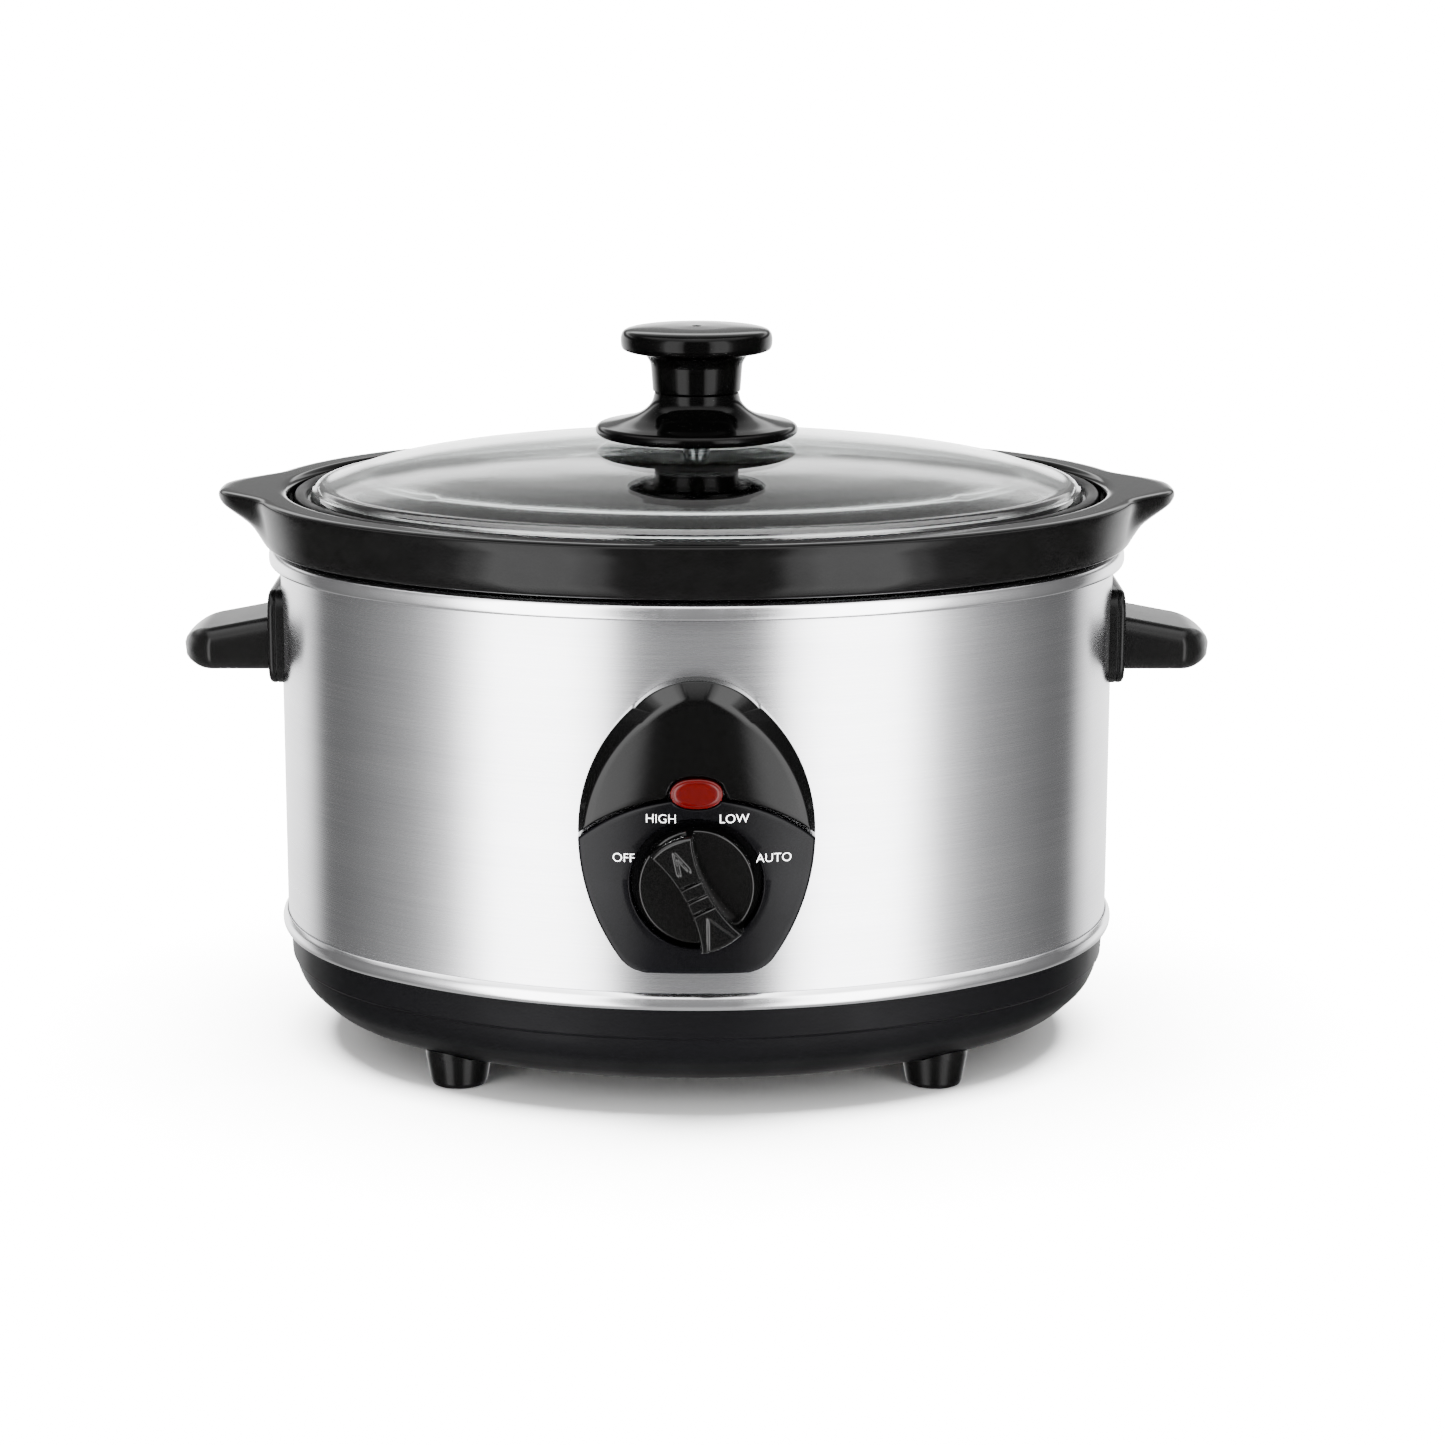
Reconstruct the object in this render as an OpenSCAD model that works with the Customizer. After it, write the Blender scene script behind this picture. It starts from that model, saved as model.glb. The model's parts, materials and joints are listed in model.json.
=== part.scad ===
// Oval countertop slow cooker with a lift-out stoneware crock and a glass lid.
// Millimetres. +Z is up, the front faces -Y, and the feet stand on z = 0.
// The plan outline is an oval of four tangent arcs whose joints lie on 3-4-5 triangles.
// Every oval surface is named by its half-length: the half-depth follows from it.

/* [Overall] */
// Length of the steel wrap, side to side
body_len = 290; // [250:1:350]
// Depth of the steel wrap, front to back
body_dep = 226; // [206:1:240]
// Height of the base tray's top edge above the table
tray_top = 41; // [36:1:50]
// Height of the steel wrap that shows between its two beads
wrap_h = 123.5; // [112:0.5:150]

/* [Base] */
// Height of the feet under the tray
foot_h = 11; // [9:0.5:14]
// Radius of a foot at its top
foot_r = 11.3; // [9:0.1:13]
// Distance of each foot from the centre line, side to side
foot_x = 81; // [70:1:88]
// Distance of each foot from the centre line, front to back
foot_y = 63.5; // [56:0.5:68]
// Wall of the base tray
tray_wall = 2.4; // [2:0.1:3]

/* [Pan and crock] */
// Gap between the steel wrap and the heating pan
air_gap = 9.2; // [9:0.1:12]
// Height of the crock's flange from its underside to its top
flange_h = 18; // [16:0.5:24]
// Reach of the crock's ears past its rim
ear_reach = 12.4; // [8:0.1:18]
// Depth of the crock's outside below its flange
crock_depth = 124; // [100:1:126]

/* [Lid] */
// Rise of the glass from its edge to its crown
dome_rise = 19; // [12:0.5:26]
// Radius of the lid knob's top disc
knob_r = 26.3; // [22:0.1:30]
// Height of the lid knob above its flange
knob_h = 38; // [33:0.2:44]

/* [Control panel] */
// Height of the panel's lower edge above the table
panel_z = 56.5; // [54:0.5:62]
// How far the panel stands out from the wrap
panel_out = 10; // [9:0.5:13]
// Radius of the control dial
dial_r = 18.65; // [16:0.05:19.5]

/* [Handles] */
// How far a handle reaches past its plate
grip_reach = 31.5; // [24:0.1:36]
// Height of the handles' lower face above the table
grip_z = 133.6; // [128:0.2:140]

/* [Part to draw] */
// Name of the one piece to draw, or all

/* [Hidden] */
$fn = 96;

// oval family
half_len = body_len / 2;
oval_s = (body_len - body_dep) / 4;
end_c = 3 * oval_s;
side_c = 4 * oval_s;
big = 260;

// named clearances
seat_gap = 0.1;
move_gap = 0.3;
shaft_gap = 0.05;
wall_thin = 0.8;

// levels
ring_h = 6;
wrap_z0 = tray_top + 2.2;
ring_z1 = tray_top + seat_gap + ring_h;
wrap_z1 = ring_z1 + wrap_h + 1.9;
bead_z0 = ring_z1 + wrap_h - 0.1;
bead_top = bead_z0 + 7.2;
flange_z = bead_top + move_gap;
rim_z = flange_z + flange_h;
ledge_z = rim_z - 7;
crock_z0 = flange_z - crock_depth;
pan_z0 = crock_z0 - 6;
tray_z0 = foot_h;
floor_t = 2.5;
tray_floor = tray_z0 + floor_t;

// half-lengths of the nested ovals
pan_in = half_len - wall_thin - air_gap - 1;
pan_out = pan_in + 1;
crock_out = pan_in - 3;
crock_in = crock_out - 6;
rim_out = half_len + 8.6;
rim_in = half_len - 3;
seal_out = rim_in - 2.4;
seal_in = seal_out - 4.7;
front_y = half_len - 2 * oval_s;

// colours
c_steel = [0.74, 0.74, 0.75];
c_black = [0.05, 0.05, 0.055];
c_glaze = [0.07, 0.07, 0.075];
c_bare = [0.6, 0.61, 0.62];
c_brass = [0.72, 0.58, 0.3];

// the two radii of the oval whose half-length is a
function end_r(a) = a - end_c;
function side_r(a) = a + 2 * oval_s;

// flat oval of half-length a, made of a lens and two end caps that meet on straight lines
module oval2d(a) {
  xj = end_c + 0.6 * end_r(a);
  union() {
    intersection() {
      translate([0, -side_c]) circle(r = side_r(a));
      translate([0, side_c]) circle(r = side_r(a));
      square([2 * xj, 4 * big], center = true);
    }
    for (m = [0, 1]) {
      mirror([m, 0]) intersection() {
        translate([end_c, 0]) circle(r = end_r(a));
        translate([xj, -big]) square([big, 2 * big]);
      }
    }
  }
}

module oval_plate(a, z0, t) {
  translate([0, 0, z0]) linear_extrude(height = t) oval2d(a);
}

// a closed profile drawn as (half-length, height), carried all round the oval
module sweep_oval(zlo, zhi) {
  span = zhi - zlo;
  for (m = [0, 1]) {
    mirror([m, 0, 0]) intersection() {
      translate([end_c, 0, 0]) rotate_extrude() translate([-end_c, 0]) children();
      translate([0, 0, zlo]) linear_extrude(height = span)
        polygon([[end_c, 0], [end_c + 0.6 * big, -0.8 * big], [end_c + 0.6 * big, 0.8 * big]]);
    }
    mirror([0, m, 0]) intersection() {
      translate([0, -side_c, 0]) rotate_extrude() translate([2 * oval_s, 0]) children();
      translate([0, 0, zlo]) linear_extrude(height = span)
        polygon([[-end_c, 0], [end_c, 0], [end_c + 0.6 * big, 0.8 * big],
          [-end_c - 0.6 * big, 0.8 * big]]);
    }
  }
}

// a round bar between two points
module bar(p, q, r) {
  v = q - p;
  len = norm(v);
  translate(p) rotate([0, acos(v[2] / len), atan2(v[1], v[0])]) cylinder(r = r, h = len, $fn = 20);
}

module wire(pts, r) {
  union() {
    for (i = [0 : len(pts) - 2]) bar(pts[i], pts[i + 1], r);
    for (i = [1 : len(pts) - 2]) translate(pts[i]) sphere(r = 1.25 * r, $fn = 20);
  }
}

// a round bar that runs front to back
module bar_y(x, z, y0, y1, r) {
  translate([x, y1, z]) rotate([90, 0, 0]) cylinder(r = r, h = y1 - y0);
}

module bar_x(y, z, x0, x1, r) {
  translate([x0, y, z]) rotate([0, 90, 0]) cylinder(r = r, h = x1 - x0);
}

// ---------- base ----------
tray_a = half_len - 0.8;
lip_out = half_len - 3.2;
lip_in = lip_out - 2;
vent_w = 3;
bolt_r = 2.5;

// how far the tray's outside lies within the wrap, and the height of that point above its bottom
TRAY_CURVE = [[19.5, 0], [12.6, 3.8], [5, 11.2], [2.3, 16.2], [1.3, 20.4], [1, 23.8]];

module tray_profile() {
  t = tray_wall + 0.5;
  polygon(concat([[half_len - 35, tray_z0]],
    [for (c = TRAY_CURVE) [half_len - c[0], tray_z0 + c[1]]],
    [[tray_a, tray_top], [lip_out, tray_top], [lip_out, tray_top + 6], [lip_in, tray_top + 6],
      [lip_in, tray_top - 4], [half_len - 1 - t, tray_z0 + 24.2],
      [half_len - 2.3 - t, tray_z0 + 17.2], [half_len - 5 - t - 0.3, tray_z0 + 12.8],
      [half_len - 12.6 - t - 0.3, tray_z0 + 5.6], [half_len - 21.5, tray_floor],
      [half_len - 35, tray_floor]]));
}

module base_tray() {
  color(c_black) difference() {
    union() {
      sweep_oval(tray_z0 - 5, tray_top + 10) tray_profile();
      oval_plate(half_len - 35, tray_z0, floor_t);
    }
    translate([0, 0, tray_z0 - 1]) cylinder(r = bolt_r + 0.3, h = floor_t + 2);
    for (x = [-foot_x, foot_x]) {
      for (y = [-foot_y, foot_y]) {
        translate([x, y, tray_z0 - 1]) cylinder(r = 1.8, h = floor_t + 9, $fn = 24);
      }
    }
    for (x = [-54, -42, -30, 30, 42, 54]) {
      translate([x - vent_w / 2, -14, tray_z0 - 1]) cube([vent_w, 28, floor_t + 2]);
    }
  }
}

// the foot's top is cut to the curve of the tray that it meets
module foot(x, y) {
  color(c_black) difference() {
    translate([x, y, 0]) difference() {
      rotate_extrude() polygon([[0, 0], [foot_r - 3.4, 0], [foot_r - 2.1, 0.5],
        [foot_r - 1.6, 1.8], [foot_r, foot_h], [foot_r, foot_h + 12], [0, foot_h + 12]]);
      translate([0, 0, -1]) cylinder(r = 3.4, h = foot_h - 4.5, $fn = 32);
      translate([0, 0, -1]) cylinder(r = 1.8, h = foot_h + 15, $fn = 24);
    }
    mirror([0, y > 0 ? 0 : 1, 0]) translate([0, -side_c, 0]) rotate_extrude()
      translate([2 * oval_s, 0]) difference() {
        translate([10, tray_z0 - seat_gap]) square([half_len - 11.5, 30]);
        translate([seat_gap, -seat_gap]) polygon(concat([[half_len - 19.5, tray_z0 - 9]],
          [for (i = [0 : 3]) [half_len - TRAY_CURVE[i][0], tray_z0 + TRAY_CURVE[i][1]]],
          [[half_len - 2.3, tray_z0 + 40], [half_len + 20, tray_z0 + 40],
            [half_len + 20, tray_z0 - 9]]));
      }
  }
}

module foot_screws() {
  color(c_bare) for (x = [-foot_x, foot_x]) {
    for (y = [-foot_y, foot_y]) {
      translate([x, y, foot_h - 5.5 - 2.1]) union() {
        difference() {
          cylinder(r = 2.9, h = 2, $fn = 32);
          translate([-2, -0.4, -0.1]) cube([4, 0.8, 0.9]);
        }
        cylinder(r = 1.6, h = 14, $fn = 24);
      }
    }
  }
}

module rating_plate() {
  color(c_bare) translate([-28, 26, tray_z0 - seat_gap - 0.5]) cube([56, 26, 0.5]);
}

// ---------- steel wrap ----------
module lower_trim_ring() {
  color(c_steel) sweep_oval(tray_top - 5, ring_z1 + 5) polygon([[half_len - 3, tray_top + seat_gap],
    [half_len + 0.9, tray_top + seat_gap], [half_len + 1.6, tray_top + 0.9],
    [half_len + 1.9, tray_top + 2.2], [half_len + 1.8, tray_top + 4], [half_len + 1.2, ring_z1 - 0.7],
    [half_len + 0.5, ring_z1], [half_len + seat_gap, ring_z1], [half_len + seat_gap, wrap_z0 - seat_gap],
    [half_len - 3, wrap_z0 - seat_gap]]);
}

dial_z = panel_z + 29.9;
lens_z = panel_z + 59.7;
gland_z = tray_top + 21;
gland_r = 6.4;
grip_mid = grip_z + 11.7;
screw_y = 13;

module outer_shell() {
  color(c_steel) difference() {
    oval_plate(half_len, wrap_z0, wrap_z1 - wrap_z0);
    oval_plate(half_len - wall_thin, wrap_z0 - 1, wrap_z1 - wrap_z0 + 2);
    bar_y(0, dial_z, -front_y - 5, -front_y + 8, 17.5);
    bar_y(0, lens_z, -front_y - 5, -front_y + 8, 4.2);
    for (x = [-26, 26]) bar_y(x, dial_z + 2, -front_y - 5, -front_y + 12, 1.8);
    bar_y(0, gland_z, front_y - 5, front_y + 5, gland_r + seat_gap);
    for (m = [0, 1]) {
      for (y = [-screw_y, screw_y]) {
        mirror([m, 0, 0]) bar_x(y, grip_mid, half_len - 10, half_len + 5, 1.9);
      }
    }
  }
}

// ---------- heating ----------
module heating_pan() {
  t = 1;
  k = half_len - 1;
  color(c_bare) union() {
    sweep_oval(pan_z0 - 5, bead_top + 5) polygon([[pan_in - 10, pan_z0], [pan_in - 5.6, pan_z0],
      [pan_in - 0.7, pan_z0 + 2.4], [pan_out, pan_z0 + 7], [pan_out, bead_z0 - 0.2],
      [pan_out + 2.3, bead_z0 + 2.1], [pan_out + 4.4, bead_z0 + 3.4], [k, bead_top - t],
      [k + 2.2, bead_top - 1.7], [k + 3.6, bead_top - 3.6], [k + 3, bead_z0 + 1.4],
      [k + 3.4, bead_z0], [k + 4.3, bead_z0 + 1], [k + 4.9, bead_top - 3.9],
      [k + 3.2, bead_top - 1], [k, bead_top], [pan_in + 5.4, bead_z0 + 4.6],
      [pan_in + 2.4, bead_z0 + 3], [pan_in, bead_z0], [pan_in, pan_z0 + 7],
      [pan_in - 1.6, pan_z0 + 3], [pan_in - 6, pan_z0 + t], [pan_in - 10, pan_z0 + t]]);
    oval_plate(pan_in - 10, pan_z0, t);
  }
}

band_z = pan_z0 + 31;

module hoop(a, t, z0, h) {
  difference() {
    oval_plate(a + t, z0, h);
    oval_plate(a, z0 - 1, h + 2);
  }
}

module heater_band() {
  color([0.5, 0.47, 0.42]) hoop(pan_out + 0.2, 1.4, band_z, 34);
}

module heater_strap() {
  color(c_bare) difference() {
    hoop(pan_out + 1.7, 0.6, band_z + 12, 9);
    translate([-4, 0, band_z]) cube([8, big, 34]);
  }
}

module strap_screw() {
  y = front_y + pan_out - half_len + 2.4;
  color(c_bare) union() {
    translate([-9, y + 0.1, band_z + 13]) cube([5, 1.2, 7]);
    translate([4, y + 0.1, band_z + 13]) cube([5, 1.2, 7]);
    bar_x(y + 3.2, band_z + 16.5, -9, 9, 1.5);
    for (x = [-9, 4]) translate([x, y + 1.2, band_z + 14]) cube([5, 3.4, 5]);
  }
}

module heater_terminals() {
  y = sqrt(pow(side_r(pan_out), 2) - 24 * 24) - side_c + 0.25;
  color(c_brass) for (x = [-34, 24]) {
    translate([x, y, band_z + 34.1]) cube([10, 5, 1]);
    translate([x + 3.5, y + 2.5, band_z + 35]) cube([3, 0.8, 8]);
  }
}

shield_z = tray_top - 9;

module heat_shield() {
  color([0.78, 0.79, 0.8]) difference() {
    oval_plate(half_len - 19, shield_z, 0.8);
    translate([0, 0, shield_z - 1]) cylinder(r = bolt_r + 0.3, h = 3);
    translate([-14, front_y - 46, shield_z - 1]) cube([28, 60, 3]);
    translate([-16, -front_y - 20, shield_z - 1]) cube([32, 40, 3]);
  }
}

module centre_bolt() {
  color(c_bare) translate([0, 0, 5]) cylinder(r = bolt_r, h = pan_z0 - seat_gap - 5);
}

module centre_spacer() {
  color(c_bare) difference() {
    translate([0, 0, tray_floor + seat_gap]) cylinder(r = 4.6, h = shield_z - tray_floor - 2 * seat_gap);
    translate([0, 0, tray_floor - 1]) cylinder(r = bolt_r + seat_gap, h = 60);
  }
}

module centre_nut() {
  color(c_bare) difference() {
    union() {
      translate([0, 0, tray_z0 - 1.1]) cylinder(r = 7, h = 1);
      translate([0, 0, tray_z0 - 5]) linear_extrude(height = 3.9)
        polygon([for (i = [0 : 5]) [4.6 * cos(60 * i), 4.6 * sin(60 * i)]]);
    }
    translate([0, 0, 0]) cylinder(r = bolt_r + shaft_gap, h = tray_z0 + 5);
  }
}

module thermostat() {
  color([0.85, 0.82, 0.72]) translate([46, 0, 0]) union() {
    translate([0, 0, pan_z0 - 8]) cylinder(r = 9, h = 7.9);
    translate([-1.5, -14, pan_z0 - 6]) cube([3, 28, 0.8]);
  }
}

module thermostat_bracket() {
  z = pan_z0 - 9.2;
  color(c_bare) difference() {
    translate([-7, -7, z]) cube([66, 14, 1.1]);
    translate([0, 0, z - 1]) cylinder(r = bolt_r + seat_gap, h = 4);
  }
}

fuse_x = -46;

module thermal_fuse() {
  color([0.75, 0.72, 0.66]) union() {
    translate([fuse_x, -8, pan_z0 - 3.4]) rotate([-90, 0, 0]) cylinder(r = 2, h = 16, $fn = 32);
    translate([fuse_x, -16, pan_z0 - 3.4]) rotate([-90, 0, 0]) cylinder(r = 0.5, h = 32, $fn = 16);
  }
}

module fuse_clip() {
  color(c_bare) difference() {
    translate([fuse_x - 3.2, -4, pan_z0 - 6.2]) cube([6.4, 8, 6.1]);
    translate([fuse_x, -9, pan_z0 - 3.4]) rotate([-90, 0, 0]) cylinder(r = 2 + seat_gap, h = 20, $fn = 32);
  }
}

block_y = front_y - 40;

module terminal_block() {
  color([0.88, 0.87, 0.82]) difference() {
    translate([-12, block_y - 6, tray_floor + seat_gap]) cube([24, 12, 10]);
    for (x = [-7, 0, 7]) translate([x, block_y, tray_floor + 7]) cylinder(r = 1.9, h = 10, $fn = 24);
  }
}

module cord_gland() {
  y = front_y;
  color(c_black) difference() {
    union() {
      bar_y(0, gland_z, y - 7, y + 3, gland_r);
      bar_y(0, gland_z, y + 0.3, y + 3.5, 9.5);
      bar_y(0, gland_z, y + 3, y + 20.2, 5.6);
    }
    bar_y(0, gland_z, y - 10, y + 23, 3.6);
    for (k = [0 : 4]) translate([-8, y + 5.4 + 2.8 * k, gland_z - 8]) cube([4, 1.2, 16]);
    for (k = [0 : 4]) translate([4.6, y + 5.4 + 2.8 * k, gland_z - 8]) cube([4, 1.2, 16]);
  }
}

module gland_nut() {
  y = front_y - 1.2;
  color(c_black) difference() {
    translate([0, y, gland_z]) rotate([90, 0, 0]) linear_extrude(height = 4)
      polygon([for (i = [0 : 5]) [9 * cos(60 * i), 9 * sin(60 * i)]]);
    bar_y(0, gland_z, y - 8, y + 3, gland_r + shaft_gap);
  }
}

wire_r = 1.1;

// lanes that the wires follow: under the shield, up past the pan's corner, and out to the wrap
lane_z = tray_floor + 12;
low_z = tray_floor + 9;
turn_z = pan_z0 - 5;
up_z = min(pan_z0 + 14, dial_z - 16);
in_y = front_y - 15;
slot_y = front_y - 7.6;
tab_z = band_z + 33.9;

module live_wire() {
  y = front_y - 3;
  color([0.45, 0.2, 0.12]) wire([[7, block_y, tray_floor + 8.2], [7, block_y, lane_z],
    [60, block_y, lane_z], [60, -60, lane_z], [9, -60, lane_z], [9, -in_y, lane_z],
    [9, -in_y, turn_z], [9, -slot_y, turn_z], [9, -slot_y, up_z], [9, -y, up_z],
    [9, -y, dial_z - 12.2]], wire_r);
}

module neutral_wire() {
  color([0.15, 0.2, 0.5]) wire([[-7, block_y, tray_floor + 8.2], [-7, block_y, lane_z],
    [-12, block_y, lane_z], [-12, in_y, lane_z], [-12, in_y, turn_z], [-12, slot_y, turn_z],
    [-12, slot_y, up_z], [-29, slot_y, up_z], [-29, slot_y, tab_z]], wire_r);
}

module element_wire() {
  y = front_y - 3;
  color([0.85, 0.85, 0.82]) wire([[29, slot_y, tab_z], [29, slot_y, up_z], [12, slot_y, up_z],
    [12, slot_y, turn_z], [12, in_y, turn_z], [12, in_y, low_z], [12, block_y + 11, low_z],
    [-60, block_y + 11, low_z], [-60, -60, low_z], [-9, -60, low_z], [-9, -in_y, low_z],
    [-9, -in_y, turn_z], [-9, -slot_y, turn_z], [-9, -slot_y, up_z], [-9, -y, up_z],
    [-9, -y, dial_z - 12.2]], wire_r);
}

// ---------- control panel ----------
wrap_r = side_r(half_len);
cover_r = wrap_r + panel_out;
skin = 2.2;
joint_r = 60;
joint_z = panel_z - 2;
recess_r = dial_r + 2.65;
recess_y = -front_y - 3.5;

// egg outline of the panel, drawn inward by d
module egg(d) {
  translate([0, panel_z]) union() {
    intersection() {
      translate([-18.1, 45.6]) circle(r = 56.3 - d);
      translate([18.1, 45.6]) circle(r = 56.3 - d);
      translate([-60, 45.6]) square([120, 41]);
    }
    intersection() {
      translate([0, 70.4]) circle(r = 25.6 - d);
      translate([-18.1, 45.6]) circle(r = 56.3 - d);
      translate([18.1, 45.6]) circle(r = 56.3 - d);
      translate([-60, 86.6]) square([120, 40]);
    }
    intersection() {
      translate([-31.8, 45.6]) circle(r = 70 - d);
      translate([31.8, 45.6]) circle(r = 70 - d);
      translate([-60, d]) square([120, 45.6 - d]);
      egg_foot(d);
    }
  }
}

module egg_foot(d) {
  union() {
    translate([-60, 5.1 + 0.58 * d]) square([120, 60]);
    translate([-15.5, 0]) square([31, 9]);
    for (m = [0, 1]) mirror([m, 0]) translate([15.5, 12]) circle(r = 12 - d);
  }
}

// the 2-D child stood up and drawn from the wrap forward to the cylinder of radius r
module stand_out(r_back, r_front) {
  difference() {
    intersection() {
      translate([0, -front_y + 12, 0]) rotate([90, 0, 0]) linear_extrude(height = 40) children();
      translate([0, side_c, 0]) cylinder(r = r_front, h = 260, $fn = 180);
    }
    translate([0, side_c, -1]) cylinder(r = r_back, h = 262, $fn = 180);
  }
}

module stadium(w, h) {
  union() {
    square([w - h, h], center = true);
    for (m = [0, 1]) mirror([m, 0]) intersection() {
      translate([(w - h) / 2, 0]) circle(r = h / 2, $fn = 48);
      translate([(w - h) / 2, -h]) square([w, 2 * h]);
    }
  }
}

module lens_hole(g) {
  translate([0, lens_z]) stadium(16.8 + 2 * g, 9.8 + 2 * g);
}

module panel_boss() {
  for (x = [-26, 26]) bar_y(x, dial_z + 2, -front_y - 8, -front_y + 2.2, 3.6);
}

module control_fascia() {
  color(c_black) difference() {
    union() {
      difference() {
        stand_out(wrap_r + 0.3, cover_r) intersection() {
          egg(0);
          translate([0, joint_z]) circle(r = joint_r - move_gap, $fn = 180);
        }
        difference() {
          stand_out(wrap_r - 5, cover_r - skin) intersection() {
            egg(skin);
            translate([0, joint_z]) circle(r = joint_r - move_gap - skin, $fn = 180);
          }
          bar_y(0, dial_z, -front_y - 20, -front_y + 3, recess_r + 2);
          bar_y(-26, dial_z + 2, -front_y - 20, -front_y + 3, 3.6);
          bar_y(26, dial_z + 2, -front_y - 20, -front_y + 3, 3.6);
          translate([-12, -front_y - 30, lens_z - 8]) cube([24, 40, 20]);
        }
      }
    }
    bar_y(0, dial_z, -front_y - 40, recess_y, recess_r);
    bar_y(0, dial_z, recess_y + 2, -front_y + 5, recess_r);
    bar_y(0, dial_z, -front_y - 40, -front_y + 5, 4.1);
    for (x = [-26, 26]) bar_y(x, dial_z + 2, -front_y - 6.5, -front_y + 5, 1.4);
    translate([0, -front_y + 10, 0]) rotate([90, 0, 0]) linear_extrude(height = 60) lens_hole(0.2);
  }
}

module panel_cover() {
  color(c_black) difference() {
    union() {
      stand_out(wrap_r + 0.3, cover_r - 3.2) difference() {
        egg(0);
        translate([0, joint_z]) circle(r = joint_r + move_gap, $fn = 180);
      }
      stand_out(cover_r - 4, cover_r) difference() {
        intersection() {
          egg(1.2);
          translate([0, -4.6]) egg(0);
        }
        translate([0, joint_z]) circle(r = joint_r + move_gap, $fn = 180);
      }
    }
    difference() {
      stand_out(wrap_r - 5, cover_r - 3.2 - skin) difference() {
        egg(skin);
        translate([0, joint_z]) circle(r = joint_r + move_gap + skin, $fn = 180);
      }
      translate([-12, -front_y - 30, lens_z - 8]) cube([24, 40, 16]);
    }
    translate([0, -front_y + 10, 0]) rotate([90, 0, 0]) linear_extrude(height = 60) lens_hole(0.2);
  }
}

module indicator_lens() {
  color([0.65, 0.02, 0.02]) difference() {
    stand_out(wrap_r + 1, cover_r + 0.5) lens_hole(0);
    stand_out(wrap_r - 5, cover_r - 1.5) translate([0, lens_z]) stadium(13.2, 6.2);
  }
}

module neon_lamp() {
  color([0.95, 0.75, 0.6]) union() {
    bar_y(0, lens_z, -front_y - 6.5, -front_y + 2, 2.4);
    bar_y(-0.9, lens_z, -front_y + 1, -front_y + 6, 0.4);
    bar_y(0.9, lens_z, -front_y + 1, -front_y + 6, 0.4);
  }
}

module panel_screws() {
  color(c_bare) for (x = [-26, 26]) {
    bar_y(x, dial_z + 2, -front_y - 5, -front_y + 5.4, 1.35);
    bar_y(x, dial_z + 2, -front_y + 3.4, -front_y + 5.4, 2.8);
  }
}

module switch_body() {
  y0 = recess_y + 2.1;
  y1 = -front_y + 5.6;
  color([0.2, 0.2, 0.22]) difference() {
    union() {
      translate([-12, y0, dial_z - 12]) cube([24, y1 - y0, 24]);
      bar_y(0, dial_z, recess_y - 4, y0 + 1, 3.95);
      for (x = [-9, 0, 9]) translate([x - 2, y1 - 1, dial_z - 8]) cube([4, 2, 0.8]);
    }
    bar_y(0, dial_z, recess_y - 10, y1 - 2, 3);
  }
}

module switch_nut() {
  y = recess_y - seat_gap;
  color(c_bare) difference() {
    translate([0, y, dial_z]) rotate([90, 0, 0]) linear_extrude(height = 2.2)
      polygon([for (i = [0 : 5]) [6.4 * cos(60 * i), 6.4 * sin(60 * i)]]);
    bar_y(0, dial_z, y - 5, y + 3, 4);
  }
}

// ---------- dial ----------
dial_back = recess_y - 3.4;
dial_front = -front_y - 13;
grip_front = dial_front - 12;
point_deg = 27;

module bow_tie(d) {
  intersection() {
    difference() {
      square([16.4 - 2 * d, 44], center = true);
      for (m = [0, 1]) mirror([m, 0]) translate([57.8 - d, 0]) circle(r = 53.3, $fn = 180);
    }
    circle(r = dial_r + 0.9 - d);
  }
}

module control_knob() {
  color(c_black) difference() {
    union() {
      bar_y(0, dial_z, dial_front + 1.2, dial_back, dial_r);
      bar_y(0, dial_z, dial_front, dial_back, dial_r - 1.1);
      translate([0, dial_front + 1, dial_z]) rotate([90, 0, 0]) rotate([0, 0, point_deg])
        linear_extrude(height = dial_front - grip_front - 0.8) bow_tie(0);
      translate([0, dial_front, dial_z]) rotate([90, 0, 0]) rotate([0, 0, point_deg])
        linear_extrude(height = dial_front - grip_front) bow_tie(1.4);
    }
    bar_y(0, dial_z, dial_back - 1.6, dial_back + 1, 8);
    bar_y(0, dial_z, dial_front - 5, dial_back + 1, 2.98);
    for (k = [-1, 0, 1]) {
      translate([0, grip_front, dial_z]) rotate([90, 0, 0]) rotate([0, 0, point_deg])
        translate([-10, 4.6 * k - 0.4, -0.9]) cube([20, 0.8, 3]);
    }
  }
}

module switch_shaft() {
  color([0.75, 0.75, 0.72]) bar_y(0, dial_z, dial_front - 4.6, recess_y + 4, 3 - shaft_gap);
}

// ---------- handles ----------
plate_x = half_len + 3.3;
plate_w = 44;
plate_h = 33;

module round_rect(w, h, r) {
  union() {
    square([w - 2 * r, h], center = true);
    for (m = [0, 1]) mirror([m, 0]) translate([w / 2 - r, r - h / 2]) square([r, h - 2 * r]);
    for (i = [0, 1]) {
      for (j = [0, 1]) {
        mirror([i, 0]) mirror([0, j]) intersection() {
          translate([w / 2 - r, h / 2 - r]) circle(r = r, $fn = 48);
          translate([w / 2 - r, h / 2 - r]) square([r, r]);
        }
      }
    }
  }
}

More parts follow.
